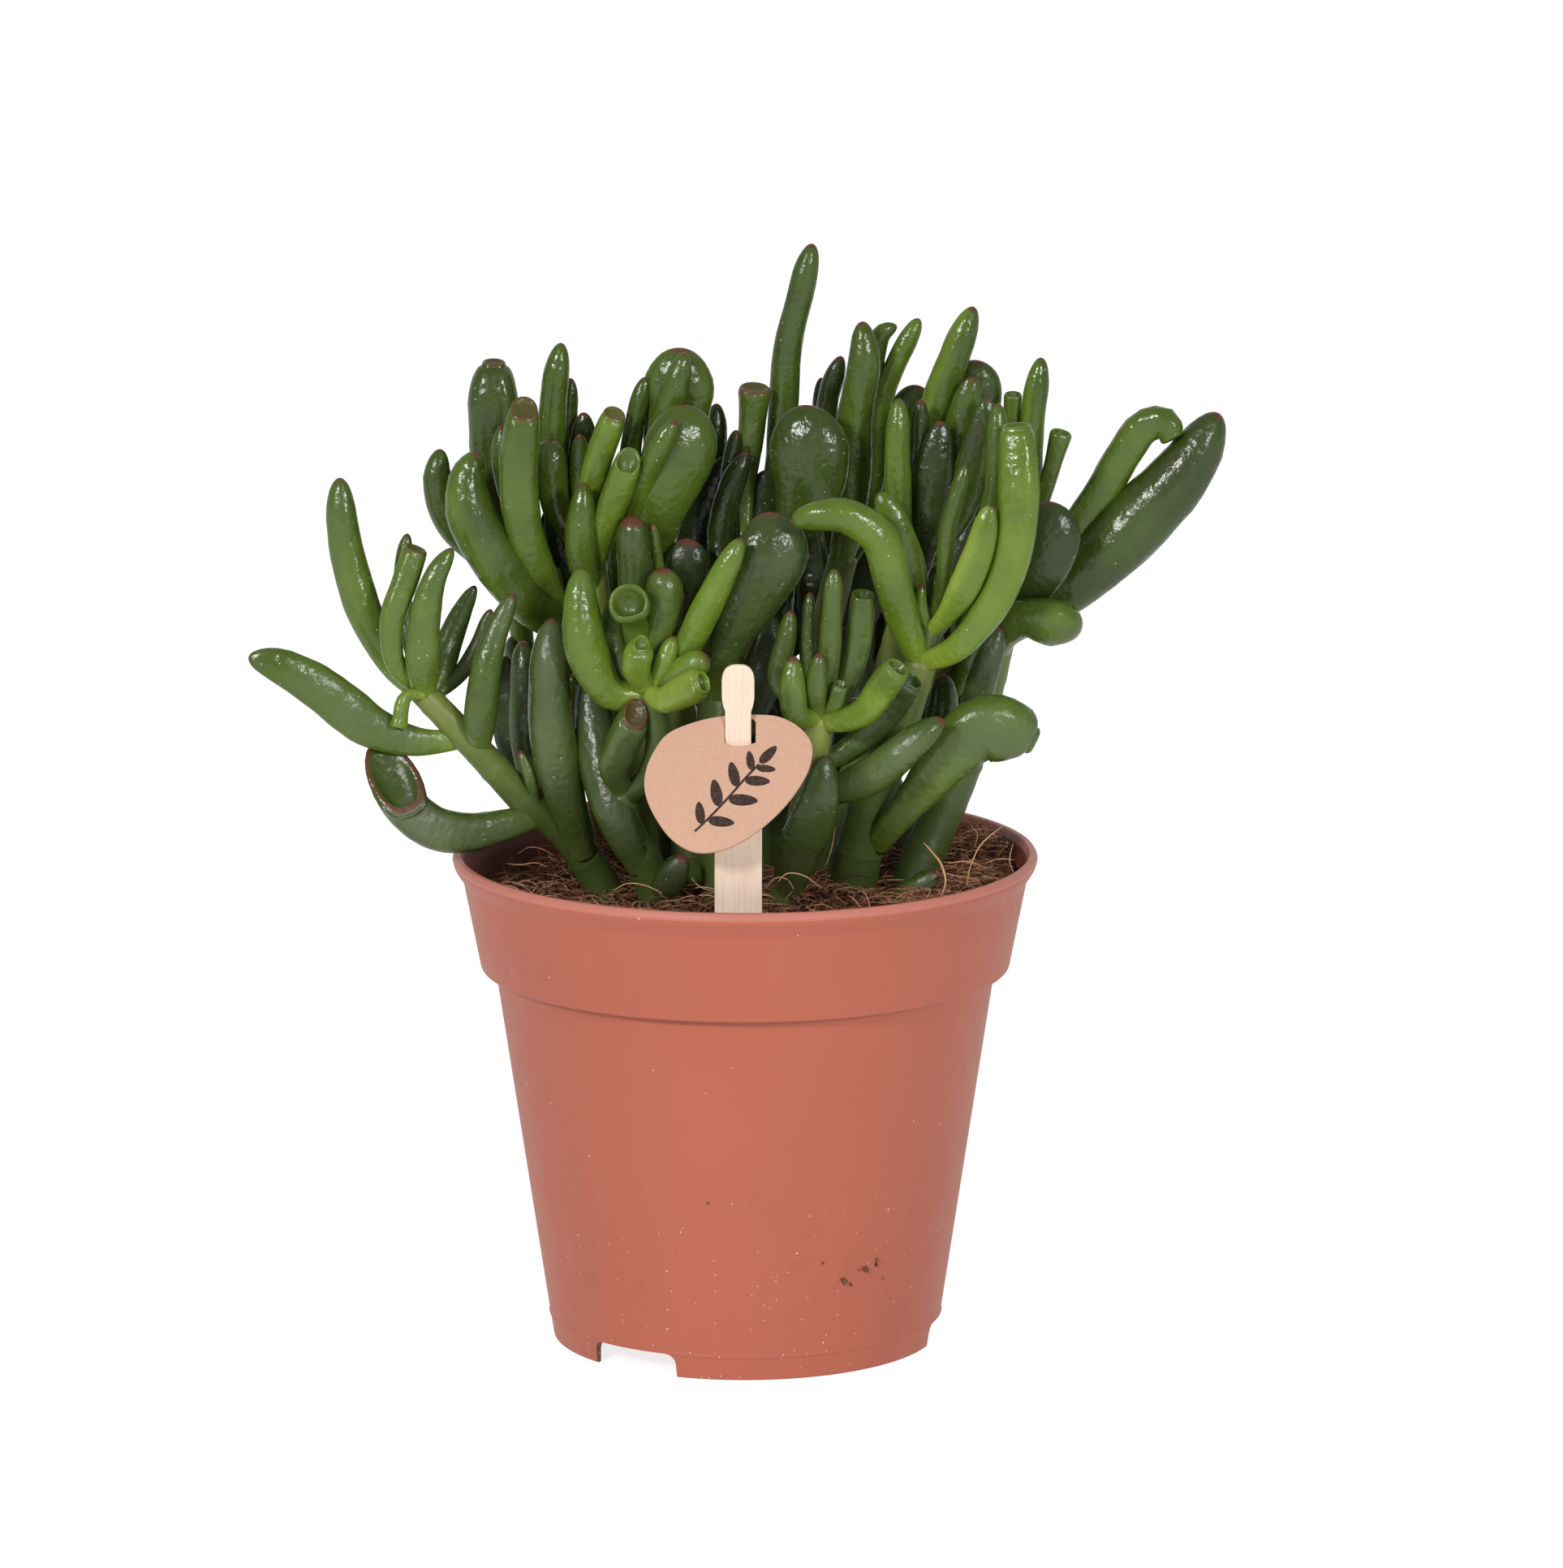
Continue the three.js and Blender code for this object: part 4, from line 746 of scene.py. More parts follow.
SHOOTS = {
    "shoot_left": [
        stem(4.2, 2.7, (-22, 72, 4), (-30, 92, 2), (-37, 102, -1), (-44, 107.5, -4), (-56, 120, -9),
               (-66, 130.5, -10), tone=0.3),
        finger(9.4, 0.35, (-33, 97, -1), (-36.5, 108, -8), (-39.5, 122, -11), (-40, 134, -12),
               (-39.5, 145.8, -11)),
        finger(7, 0.3, (-42, 106, 0), (-44.5, 118, 4), (-45, 130, 5), (-45.5, 141, 6)),
        blade(6.4, 0.15, (-45, 109, 2), (-48, 120, 8), (-49, 130, 9), (-49, 138, 10)),
        finger(2.8, 0.45, (-42.5, 107.5, -5), (-44, 113, -8.5), (-46, 118.6, -8.5)),
        cup(9, 10.6, 1.9, 0.3, (-41, 105.5, -3), (-49, 103.4, -7), (-57, 101.8, -10), (-64, 103, -13),
               (-69.4, 107.2, -14), (-71.7, 112.6, -14), rim=0.6),
        blade(9.4, 0.45, (-57, 121, -9), (-67, 120.4, -11), (-76, 123.2, -13), (-86, 130.6, -15),
               (-94.5, 135.6, -16), (-101.6, 137.8, -17)),
        cup(3.2, 3.8, 0, 0.75, (-65, 130, -12), (-69.4, 129.6, -14), (-70.9, 123.4, -15)),
        finger(7.6, 0.5, (-66, 130, -7), (-72, 136, -5), (-77.5, 146, -4), (-81, 157, -3),
               (-82.5, 166, -3), (-83, 174.4, -3)),
        finger(3.8, 0.4, (-66, 131, -5), (-69.5, 145, 0), (-70.2, 155, 0), (-69.1, 163, 0)),
        cup(5.4, 5, 0.3, 0.55, (-66, 130.5, -9), (-71.4, 136, -13), (-72.3, 145, -14),
               (-69.6, 153, -13), (-67.4, 159.8, -12), rim=0.7),
        horn(7, 0.5, (-65.5, 129.5, -10), (-66, 137, -15), (-65.5, 146, -16), (-63.5, 154, -16),
               (-59.9, 160, -15)),
        horn(5.8, 0.4, (-64.2, 129.6, -7.4), (-61, 139.5, -2), (-58, 147, -1), (-55.2, 152.3, -1)),
        finger(3.6, 0.35, (-63.5, 129.5, -8), (-58.4, 134.2, -4), (-55, 139.5, -3), (-52, 147.5, -3)),
        horn(6.6, 0.4, (-54.5, 118.5, -8), (-54.3, 124, -14), (-53.4, 133, -15), (-51.2, 142, -14),
               (-47.4, 150.8, -13)),
    ],
    "shoot_left_rosette": [
        stem(4.6, 3.4, (-13, 72, -6), (-19, 92, -9), (-24.5, 103, -12), (-25.5, 110, -13), tone=0.15),
        stem(2.6, 2.6, (-25, 109, -13), (-20, 113, -15), (-17.8, 120, -17),
               (-19.5, 130.5, -18), tone=0.15),
        finger(9.4, 0.25, (-21, 94, -11), (-25.5, 103, -14), (-29, 114, -11), (-31, 124, -8),
               (-32.4, 134, -6)),
        finger(6.6, 0.2, (-18, 88, -9), (-15.5, 92, -14), (-12.5, 97, -17)),
        cup(7.4, 5.8, 1, 0.35, (-24, 109.5, -13), (-26.8, 114.5, -18), (-25, 120, -20),
               (-22.4, 126, -22), rim=0.8),
        finger(8.8, 0.55, (-20, 129.5, -17), (-27.5, 130.5, -18), (-32.4, 139, -19),
               (-33.6, 148, -19), (-33.7, 156, -18)),
        cup(6.2, 3.8, 0.8, 0.75, (-20, 131, -19), (-22.2, 135.5, -23), (-21.2, 140.4, -25)),
        finger(4.4, 0.7, (-19, 131.5, -19), (-16.8, 136, -20), (-14.5, 142, -20)),
        cup(7, 5, 0, 0.85, (-20, 130.5, -19), (-16.6, 129, -23), (-12.6, 130.8, -26),
               (-8.6, 132.6, -29)),
        stub(6.4, 0.6, (-18.5, 131, -17), (-13, 134.6, -21), (-7.6, 137.6, -24)),
        blade(5.4, 0.35, (-20.5, 130, -16), (-25, 135.5, -16), (-27.4, 142, -14), (-27.4, 149, -12)),
        cup(5.6, 8.8, 0.5, 0.55, (-20, 131, -16), (-21.6, 139, -16), (-22.6, 144.8, -18.5),
               (-23.8, 148.8, -24)),
        stub(7.6, 0.5, (-19.3, 131, -15), (-18.4, 140, -15), (-16.4, 148, -16), (-17, 156, -17)),
        stub(7, 0.35, (-20.5, 131, -13), (-22.4, 146, -10), (-22.6, 158, -11),
               (-23.2, 166.6, -12), rim=1),
        finger(2.8, 0.5, (-18.6, 131, -13), (-17, 150, -8), (-18, 158, -9), (-18.9, 165, -10)),
        finger(6.2, 0.65, (-18.5, 130, -15), (-12.4, 139, -18), (-8, 147.5, -21.5), (-3.8, 156, -24),
               (-0.7, 162, -24)),
    ],
    "shoot_left_middle": [
        stem(4.2, 3, (-12, 72, 12), (-20, 112, 8), (-28, 135, 3), (-31, 152, 0), (-32, 162, 0)),
        finger(6.6, 0.45, (-31, 150, 0), (-33.4, 158, -5), (-33.5, 166, -7), (-33.1, 173.4, -7)),
        cup(6.2, 5.6, 1, 0.6, (-31, 155, -1), (-29, 163, -5), (-26.3, 171, -9), (-24, 177.6, -12)),
        cup(5.8, 4.8, 0.5, 0.65, (-32, 160, 1), (-32, 170, 0), (-29.8, 179, -1),
               (-26.7, 187.4, -2), rim=1),
        stub(6.8, 0.45, (-32, 158, 3), (-38, 167, 5), (-39.6, 175, 4), (-40, 182.4, 4)),
        blade(4.6, 0.45, (-32, 162, 3), (-33.6, 173, 5), (-33.9, 183.4, 4)),
        blade(7, 0.1, (-32, 160, 4), (-33, 176, 10), (-33, 187.8, 10)),
        finger(6.2, 0.45, (-32, 156, 3), (-38.6, 172, 9), (-39.5, 185, 9), (-38.8, 194, 8),
               (-37.6, 202, 8)),
        blade(7, 0.1, (-31, 148, 3), (-37.4, 156, 8), (-39.2, 164, 9), (-38.6, 170, 9)),
        finger(4, 0.25, (-32, 161, 5), (-36, 180, 13), (-35.7, 194.8, 13)),
    ],
    "shoot_upper_left": [
        stem(4.2, 3.2, (-7, 72, 22), (-16, 108, 21), (-28, 130, 17), (-37, 146, 9), (-41, 155, 7)),
        finger(11, 0.35, (-36, 143, 8), (-43.5, 148.5, 0), (-50.6, 157.5, -4), (-55.8, 166, -6),
               (-57, 173, -6), (-55, 179.8, -6), pale=1),
        cup(8, 6, 0.8, 0.45, (-38, 147, 7), (-41.6, 155, -3), (-45.4, 165, -7), (-46.4, 177, -9),
               (-45.2, 188.4, -11), rim=0.9),
        cup(10.4, 5, 0.2, 0.3, (-39, 150, 9), (-45, 161, 10), (-50.4, 175, 9), (-51.6, 188, 8),
               (-51.4, 198, 8), rim=1),
        finger(7.2, 0.35, (-40, 152, 8), (-52, 158, 7), (-60.4, 166, 5), (-63, 173.4, 4),
               (-62.4, 180.3, 4)),
        finger(4.8, 0.45, (-41, 154, 6), (-47, 168, 1), (-49.8, 178, 0), (-49.7, 185.2, 0)),
    ],
    "shoot_centre_left": [
        stem(4.4, 3, (-7, 72, 7), (-11, 97, 2), (-13, 120, 4), (-15, 140, 5), (-17.5, 157, 4)),
        spoon(15.4, 0.4, (-17.3, 151, 4), (-18.2, 160, -2), (-16.4, 169.6, -5), (-13.2, 180, -6),
               (-12, 189.4, -5)),
        finger(5.6, 0.45, (-17.5, 155, 3), (-23, 164.6, -2), (-21, 173, -6.5), (-17.4, 180.4, -10.5),
               (-14.3, 186.3, -11)),
        spoon(15, 0.45, (-17.5, 155, 5), (-17, 172, 8), (-14.4, 186, 6), (-13, 201, 5)),
        finger(6.6, 0.4, (-17.5, 156, 5), (-18.4, 176, 2.5), (-15.6, 188, 1), (-12.3, 200, 0)),
        finger(4.6, 0.35, (-18, 156, 5), (-23.4, 172, 5), (-22.9, 184, 4), (-20.4, 195, 4)),
        spoon(10, 0.02, (-15, 141, 4), (-12.8, 150, -3), (-11.6, 161.9, -4)),
        blade(8, 0.05, (-16, 150, 5), (-9, 165, 12), (-3.5, 179, 12)),
        finger(6, 0.1, (-15.4, 146, 5), (-10.4, 165, 16), (-6.6, 180, 17), (-5.8, 189.6, 17)),
    ],
    "shoot_centre": [
        stem(4.6, 3, (-3, 72, -6), (-5, 95, -8), (-6, 112, -8), (-6, 128, -6), (-3, 145, 0),
               (0, 158, 5), tone=0.3),
        spoon(15.4, 0.3, (-6, 127, -7), (-4, 139, -13), (1.4, 150, -16), (5.4, 159, -17),
               (4.8, 167.4, -16)),
        finger(6, 0.12, (-3.4, 145, 0), (-5, 162, 5), (-3, 172, 5), (0.3, 179.8, 5)),
        cup(5.4, 6.8, 0.2, 0.38, (0, 156, 5), (-0.4, 172, 9), (1.2, 183, 9), (1.9, 192.6, 8), rim=0.8),
        finger(4, 0.12, (-1, 154, 5), (-3.4, 172, 7.5), (-1.8, 184.2, 7)),
        finger(6.2, 0.35, (0, 156, 6), (6, 172, 13), (7.8, 188, 13), (8.6, 200, 12), (11.3, 212, 11),
               (13.8, 222.3, 11)),
        spoon(17.4, 0.2, (0, 152, 4), (9, 161, 0), (13, 173, -2), (12.3, 189.3, -2)),
        blade(8, 0.1, (0, 156, 6), (3, 167, 11), (4.6, 176, 11)),
        blade(9, 0.15, (-5.6, 116, -8), (0, 126, -2), (4, 137, 2), (5.4, 146, 4)),
    ],
    "shoot_right_rosette": [
        stem(3.6, 2.8, (6, 72, -10), (9, 92, -13), (12, 106, -18), (14, 117, -21), (15.2, 125.5, -22)),
        finger(9.4, 0.3, (8, 88, -12), (11, 98, -20.6), (14.8, 107, -25.8), (16.6, 117.6, -27)),
        finger(5.8, 0.6, (15, 125, -23), (10.6, 126, -27), (9.7, 131, -28), (9.9, 137.9, -28)),
        finger(4.6, 0.45, (15, 125, -23), (14.5, 131, -26), (15.3, 138.6, -27)),
        finger(4.6, 0.5, (15.5, 124.5, -21), (17, 134, -22), (17.7, 145, -22),
               (18.2, 155.8, -22), rim=1),
        finger(3, 0.25, (14.6, 124.5, -20), (13, 140, -18), (13.2, 151, -17)),
        finger(4.6, 0.35, (14.4, 124, -20), (7, 133, -18), (8.3, 141, -18), (9.4, 147.3, -18)),
        cup(5.4, 5.2, 0.3, 0.45, (15.5, 124.5, -21), (20.4, 131, -19), (22.8, 139, -18),
               (24.2, 150.4, -19)),
        cup(3.6, 3.4, 0.4, 0.5, (15.5, 125, -22), (18.2, 127.4, -25), (19.7, 132, -26)),
        cup(6.4, 5.4, 0, 0.65, (15.2, 124.6, -22), (19.6, 124.6, -26), (24.6, 126.8, -28),
               (28, 131.4, -29), (31.2, 135.6, -32)),
        cup(6.3, 4.9, 0, 0.35, (13.2, 115.4, -19.6), (20, 118, -18), (26.5, 123.4, -19),
               (31.2, 129, -21), (34.1, 132.8, -24)),
        finger(7.8, 0.4, (12.6, 111, -19), (19.5, 110.8, -23), (27, 114.2, -27), (34, 120, -29),
               (40.6, 125, -29)),
    ],
    "shoot_right": [
        stem(5.8, 3.3, (18, 72, -4), (22, 92, -7), (25.5, 107, -9), (31, 122, -12),
               (36.2, 137, -14), tone=0.25),
        stem(2.6, 2.2, (36, 136, -14), (37.3, 142, -14), (37.8, 147, -13), tone=0.25),
        finger(8, 0.55, (36, 136, -14), (32.4, 145, -19), (29.9, 154, -22), (27.4, 162, -23),
               (20.5, 166.6, -24), (14, 166.5, -24), (9.3, 165.2, -23)),
        blade(7.4, 0.5, (36, 137, -12), (34.2, 150, -12), (31.6, 162, -14), (27.5, 171.5, -14)),
        cup(8.4, 6.4, 0.2, 0.6, (36.4, 136.5, -15), (43, 139.4, -20), (50, 147.4, -22),
               (54.4, 158, -23), (56, 171, -23), (55.4, 185, -21)),
        finger(5.2, 0.5, (37.6, 141, -12), (45.6, 153, -12), (50.6, 170, -13), (51.8, 189.6, -12)),
        blade(6.4, 0.6, (37.6, 142.5, -15), (42, 147.4, -21), (47, 157, -25),
               (50.2, 168.8, -26), pale=1),
        finger(2.6, 0.6, (37.6, 143, -15), (36, 148, -17), (36.2, 152.8, -17)),
        finger(3.8, 0.45, (37.6, 143, -13), (39.2, 149, -12), (39, 154.8, -11)),
        finger(3.8, 0.4, (37.8, 143, -13), (40.6, 153, -17), (41.5, 164, -19), (45.2, 177.2, -19)),
        bulb(14, 6, 0.45, (26.5, 99, -10), (30, 103.4, -15), (36, 110.5, -18), (42.5, 118.5, -19.5),
               (48.5, 123, -20), (54.5, 122.5, -19.5), (59, 120.6, -18.5)),
    ],
    "shoot_right_low": [
        stem(5, 3.2, (29, 72, -2), (34.5, 92, 0), (40, 105, 2), (45, 117, 3), (49, 130, 3),
               (53, 146, 1), tone=0.25),
        finger(7.4, 0.3, (30, 80, -4), (34, 88.6, -11), (39.5, 93.6, -14)),
        finger(6.4, 0.2, (45.6, 118, 1), (47.2, 128, -6), (49.4, 136, -8), (52.4, 144, -8)),
        club(12.4, 0.45, (51.6, 138, 2), (53, 142, -3), (57, 145.4, -7), (62, 145, -8),
               (68.6, 143.2, -6)),
        finger(14, 0.25, (53, 144, 1), (67.4, 153.4, 3), (79.4, 164.8, 3), (89.6, 175.6, 2),
               (97, 187.6, 2)),
        spoon(14, 0.12, (53, 144, 0), (57, 149, -4), (60.6, 155.4, -8), (62, 163, -9), (62, 169.6, -9)),
        cup(7.4, 5.2, 0, 0.5, (53, 146, 2), (66, 162, 4), (72.6, 171, 4), (77.4, 179, 3),
               (81.6, 184.8, 2), (85.8, 185.6, 1), (87.4, 182.4, 0)),
        cup(3.6, 4.6, 0.2, 0.5, (53, 147, 2), (60, 168, 6), (62.6, 176, 6), (64.7, 183.6, 6)),
        finger(5.8, 0.4, (53, 147, 2), (57.4, 168, 9), (58.6, 185, 9), (60.6, 199, 9), pale=1),
        cup(3.8, 3.8, 0.3, 0.5, (52.6, 147, 3), (54.2, 170, 11), (54.8, 191.4, 11)),
    ],
    "shoot_right_back": [
        stem(4.6, 3, (12, 72, 14), (22, 110, 13), (30, 136, 8), (34, 152, 4), (34.6, 160, 3)),
        finger(5.8, 0.55, (34, 150, 4), (31.6, 164, -3), (31.2, 178, -5), (31.4, 190.6, -5)),
        blade(9, 0.1, (34.4, 151, 4), (36.6, 163, 0), (38.4, 175, -1), (40.2, 186, -1)),
        blade(8.2, 0.45, (34.6, 156, 4), (40.6, 172, 6), (44, 183, 5), (46.5, 195, 4)),
        blade(8, 0.12, (33, 147, 5), (39, 154, 10), (43.4, 161.6, 12), (45.4, 169, 13)),
        blade(9, 0.1, (26, 122, 11), (23.6, 130, 15), (21.4, 138, 18), (20.4, 144, 19)),
        blade(7, 0.25, (34.6, 154, 4), (43, 166, 1), (46.6, 178, -1), (49.8, 190.6, -2)),
        spoon(12, 0.3, (34.6, 156, 5), (42, 175, 15), (46, 187, 14), (47.4, 198.5, 13)),
        finger(7.2, 0.4, (34.6, 157, 4), (36.8, 175, 9), (39.6, 190, 9), (43.5, 201, 8),
               (46.8, 209.4, 8), pale=1),
        finger(4.4, 0.15, (34.6, 157, 3), (35.4, 172, 2), (36, 190.4, 1)),
    ],
    "shoot_middle_back": [
        stem(4.4, 3, (5, 72, 17), (9, 112, 20), (15, 138, 17), (20, 158, 12), tone=0.25),
        finger(7.8, 0.4, (19, 154, 12), (22, 172, 9), (22.4, 186, 8), (24.4, 198, 7), (24, 206.4, 7)),
        finger(5, 0.2, (18.6, 155, 14), (16.6, 176, 17), (16.9, 190, 17), (19.7, 199.3, 16)),
        finger(3.6, 0.2, (17.6, 150, 15), (15, 176, 21), (15.6, 194.9, 21)),
        finger(5.2, 0.4, (20, 156, 14), (25, 178, 16), (26, 196, 15), (27.8, 203.6, 14),
               (31, 205.6, 14)),
        finger(5, 0.5, (20, 156, 12), (26.6, 175, 15), (27.6, 189, 15), (31, 198, 14), (35.6, 207, 14)),
        blade(9, 0.1, (13, 130, 18), (14.6, 143, 24), (15, 154, 26), (14, 164.6, 26)),
        blade(9, 0.1, (14.6, 137, 17), (20, 142.6, 23), (24.4, 150, 26), (25.6, 160, 27)),
        spoon(9, 0.4, (20, 155, 13), (29.6, 173, 21), (32.6, 184, 21), (35.6, 193.3, 20)),
    ],
}

# The shoots at the back repeat one rule: pairs of leaves, each pair turned a quarter from the
# last, along a stem that leans out, where there is room. X, Y and Z along each stem, in mm
BACK_STEMS = [
    (11, [(33, 17, 82), (36, 22, 100), (39, 27, 118), (42, 30, 136)]),
    (23, [(18, 28, 82), (19, 34, 100), (22, 39, 124), (26, 41, 150)]),
    (37, [(0, 32, 82), (-1, 38, 100), (-1, 42, 126), (2, 43, 146)]),
    (41, [(-18, 28, 82), (-20, 34, 100), (-24, 39, 124), (-27, 41, 150)]),
    (59, [(-32, 16, 82), (-34, 21, 98), (-38, 26, 112), (-42, 29, 127)]),
]
BACK_PAIRS = 5
BACK_FIRST = 0.42
BACK_TRIES = 14
BACK_LIMIT = 57
ROOM = 0.35


class Path:
    """A smooth curve that can be read at a share of its length"""

    def __init__(self, points):
        self.line = smooth_line(points, 40)
        self.reach = [0]
        for before, after in zip(self.line, self.line[1:]):
            self.reach.append(self.reach[-1] + (after - before).length)
        self.length = self.reach[-1]

    def at(self, share):
        wanted = min(max(share, 0), 1) * self.length
        index = min(max(int(np.searchsorted(self.reach, wanted)), 1), len(self.line) - 1)
        low, high = self.reach[index - 1], self.reach[index]
        return self.line[index - 1].lerp(self.line[index], (wanted - low) / (high - low))

    def stations(self, shares, face):
        """Middle, direction and two cross directions that don't twist, at each share"""
        facing = face.copy()
        found = []
        for share in shares:
            along = (self.at(share + 0.004) - self.at(share - 0.004)).normalized()
            facing = (facing - along * facing.dot(along)).normalized()
            found.append((self.at(share), along, facing.copy(), facing.cross(along)))
        return found


def balls_along(points, radius):
    """Balls that stand for a leaf or a stem when room is looked for: place and radius"""
    balls = []
    for start, end in zip(points, points[1:]):
        steps = math.ceil((end - start).length / 3)
        balls += [(*start.lerp(end, step / steps), radius) for step in range(1, steps + 1)]
    return balls


def shoot_balls(parts):
    balls = []
    for part in parts:
        radius = part["foot"] if "foot" in part else 0.46 * part["width"]
        balls += balls_along(part["path"], radius)
    return balls


def room_beside(balls, others):
    if not balls or not others:
        return True
    own, all_others = np.array(balls), np.array(others)
    gaps = np.linalg.norm(own[:, None, :3] - all_others[None, :, :3], axis=2)
    return bool((gaps > own[:, None, 3] + all_others[None, :, 3] + ROOM).all())


def back_leaf(root, turn, top, draw):
    length = draw(24, 32) + 8 * top
    spread = draw(0.4, 0.75) * length * (1 - 0.6 * top)
    reach = root + Vector((spread * math.cos(turn), spread * math.sin(turn), 0))
    reach.y = min(reach.y, BACK_LIMIT - 3)
    bend = root.lerp(reach, 0.7) + Vector((0, 0, 0.32 * length))
    tip = reach + Vector((0, 0, 0.88 * length))
    middle = root.lerp(bend, 0.5) - Vector((0, 0, 0.06 * length))
    width = draw(5.6, 7.8)
    form = {**STUB, "mouth": 0.95 * width, "lean": 0.3} if draw(0, 1) < 0.3 else FINGER
    face = Vector((-math.cos(turn), -math.sin(turn), 0))
    return {**form, "width": width, "path": [root, middle, bend, tip], "face": face,
            "tone": 0.22 + 0.3 * top, "rim": 0.3, "pale": 0}


def back_leaves(stalk, draw, taken):
    path = Path(stalk["path"])
    leaves = []
    for pair in range(BACK_PAIRS):
        top = pair / (BACK_PAIRS - 1)
        root = path.at(BACK_FIRST + (0.99 - BACK_FIRST) * top)
        for opposite in (0, math.pi):
            for _ in range(BACK_TRIES):
                turn = opposite + (pair % 2) * 0.5 * math.pi + draw(-0.7, 0.7)
                leaf = back_leaf(root, turn, top, draw)
                own = [ball for other in leaves
                       for ball in balls_along(other["path"][2:], 0.4 * other["width"])]
                outer = balls_along(leaf["path"][1:], 0.5 * leaf["width"])
                if room_beside(outer, taken) and room_beside(outer[2:], own):
                    leaves.append(leaf)
                    break
    return leaves


back_stalks = [{"foot": 4, "top": 2.8, "path": [Vector(place) for place in path], "face": TO_VIEWER,
                "tone": 0.4} for _, path in BACK_STEMS]
for index, (seed, _) in enumerate(BACK_STEMS):
    taken = [ball for parts in SHOOTS.values() for ball in shoot_balls(parts)]
    taken += shoot_balls(back_stalks[index + 1:])
    leaves = back_leaves(back_stalks[index], random_from(seed * 7919), taken)
    SHOOTS[f"shoot_back_{index + 1}"] = [back_stalks[index], *leaves]
SHOOTS["shoot_back_2"].append(
    blade(9, 0.08, (23, 132, 39), (26, 138, 41), (28.4, 146, 41), (28.6, 155, 40)))
SHOOTS["shoot_back_3"].append(
    blade(9, 0.08, (0, 132, 42), (5, 138, 43), (9.6, 144, 42), (11.6, 153, 41)))


def girth(rows, share):
    """Share of the full width at a share of the path, on a smooth curve through the rows"""
    index = next((i for i, (place, _) in enumerate(rows) if place >= share), len(rows) - 1)
    if index == 0:
        return rows[0][1]
    slopes = [(high[1] - low[1]) / (high[0] - low[0]) for low, high in zip(rows, rows[1:])]
    (low, low_girth), (high, high_girth) = rows[index - 1], rows[index]
    before = slopes[index - 1] if index == 1 else (slopes[index - 2] + slopes[index - 1]) / 2
    after = slopes[index - 1] if index == len(rows) - 1 else (slopes[index - 1] + slopes[index]) / 2
    span = high - low
    t = (share - low) / span
    rise = (3 * t ** 2 - 2 * t ** 3) * (high_girth - low_girth)
    return low_girth + rise + span * (before * t * (1 - t) ** 2 - after * t ** 2 * (1 - t))


class Skin:
    """The growing surface of one shoot. Each point carries where it is on its leaf (share of the
    path, how much it faces out, redness), what the leaf is like (tone, bloom, hollow) and how its
    sides differ (paler side, light edge)"""

    def __init__(self):
        self.points, self.faces, self.slots = [], [], []
        self.marks, self.kinds, self.turns = [], [], []

    def add(self, point, mark, kind, turn=(0, 0, 0)):
        self.points.append(point)
        self.marks += mark
        self.kinds += kind
        self.turns += turn
        return len(self.points) - 1

    def ring(self, station, half, thick, sides, lean, mark, kind, groove=0.0, ripple=1.0, pale=0.0):
        middle, along, facing, side = station
        share, red = mark
        corners = []
        for i in range(sides):
            angle = 2 * math.pi * i / sides
            across, out = half * math.cos(angle), thick * math.sin(angle)
            out *= 1 - groove * math.exp(-((math.sin(angle) - 1) / 0.16) ** 2)
            offset = side * across + facing * out
            place = middle + offset
            swell = 0.05 * noise.noise(place * 0.13) + 0.022 * noise.noise(place * 0.45)
            place = middle + offset * (1 + ripple * swell) - along * (lean * out)
            edge = max(0, abs(math.cos(angle)) - 0.93) / 0.07 if thick < 0.6 * half else 0
            turn = (pale * math.cos(angle), edge, 0)
            corners.append(self.add(place, (share, math.sin(angle), red), kind, turn))
        return corners

    def bridge(self, low, high, slot):
        for i in range(len(low)):
            turn = (i + 1) % len(low)
            self.faces.append((low[i], low[turn], high[turn], high[i]))
            self.slots.append(slot)

    def cap(self, ring, pole, slot, outwards):
        for i in range(len(ring)):
            pair = (ring[i], ring[(i + 1) % len(ring)])
            self.faces.append((*pair, pole) if outwards else (*pair[::-1], pole))
            self.slots.append(slot)

    def tube(self, rings, first, last, slot):
        self.cap(rings[0], first, slot, False)
        for low, high in zip(rings, rings[1:]):
            self.bridge(low, high, slot)
        self.cap(rings[-1], last, slot, True)

    def piece(self, name, materials):
        made = mesh_object(name, self.points, self.faces)
        parts = {"leaf_mark": self.marks, "leaf_kind": self.kinds, "leaf_turn": self.turns}
        for label, values in parts.items():
            attribute = made.data.attributes.new(label, "FLOAT_VECTOR", "POINT")
            attribute.data.foreach_set("vector", values)
        for material in materials:
            made.data.materials.append(material)
        made.data.polygons.foreach_set("material_index", self.slots)
        made.data.polygons.foreach_set("use_smooth", [True] * len(self.faces))
        return made


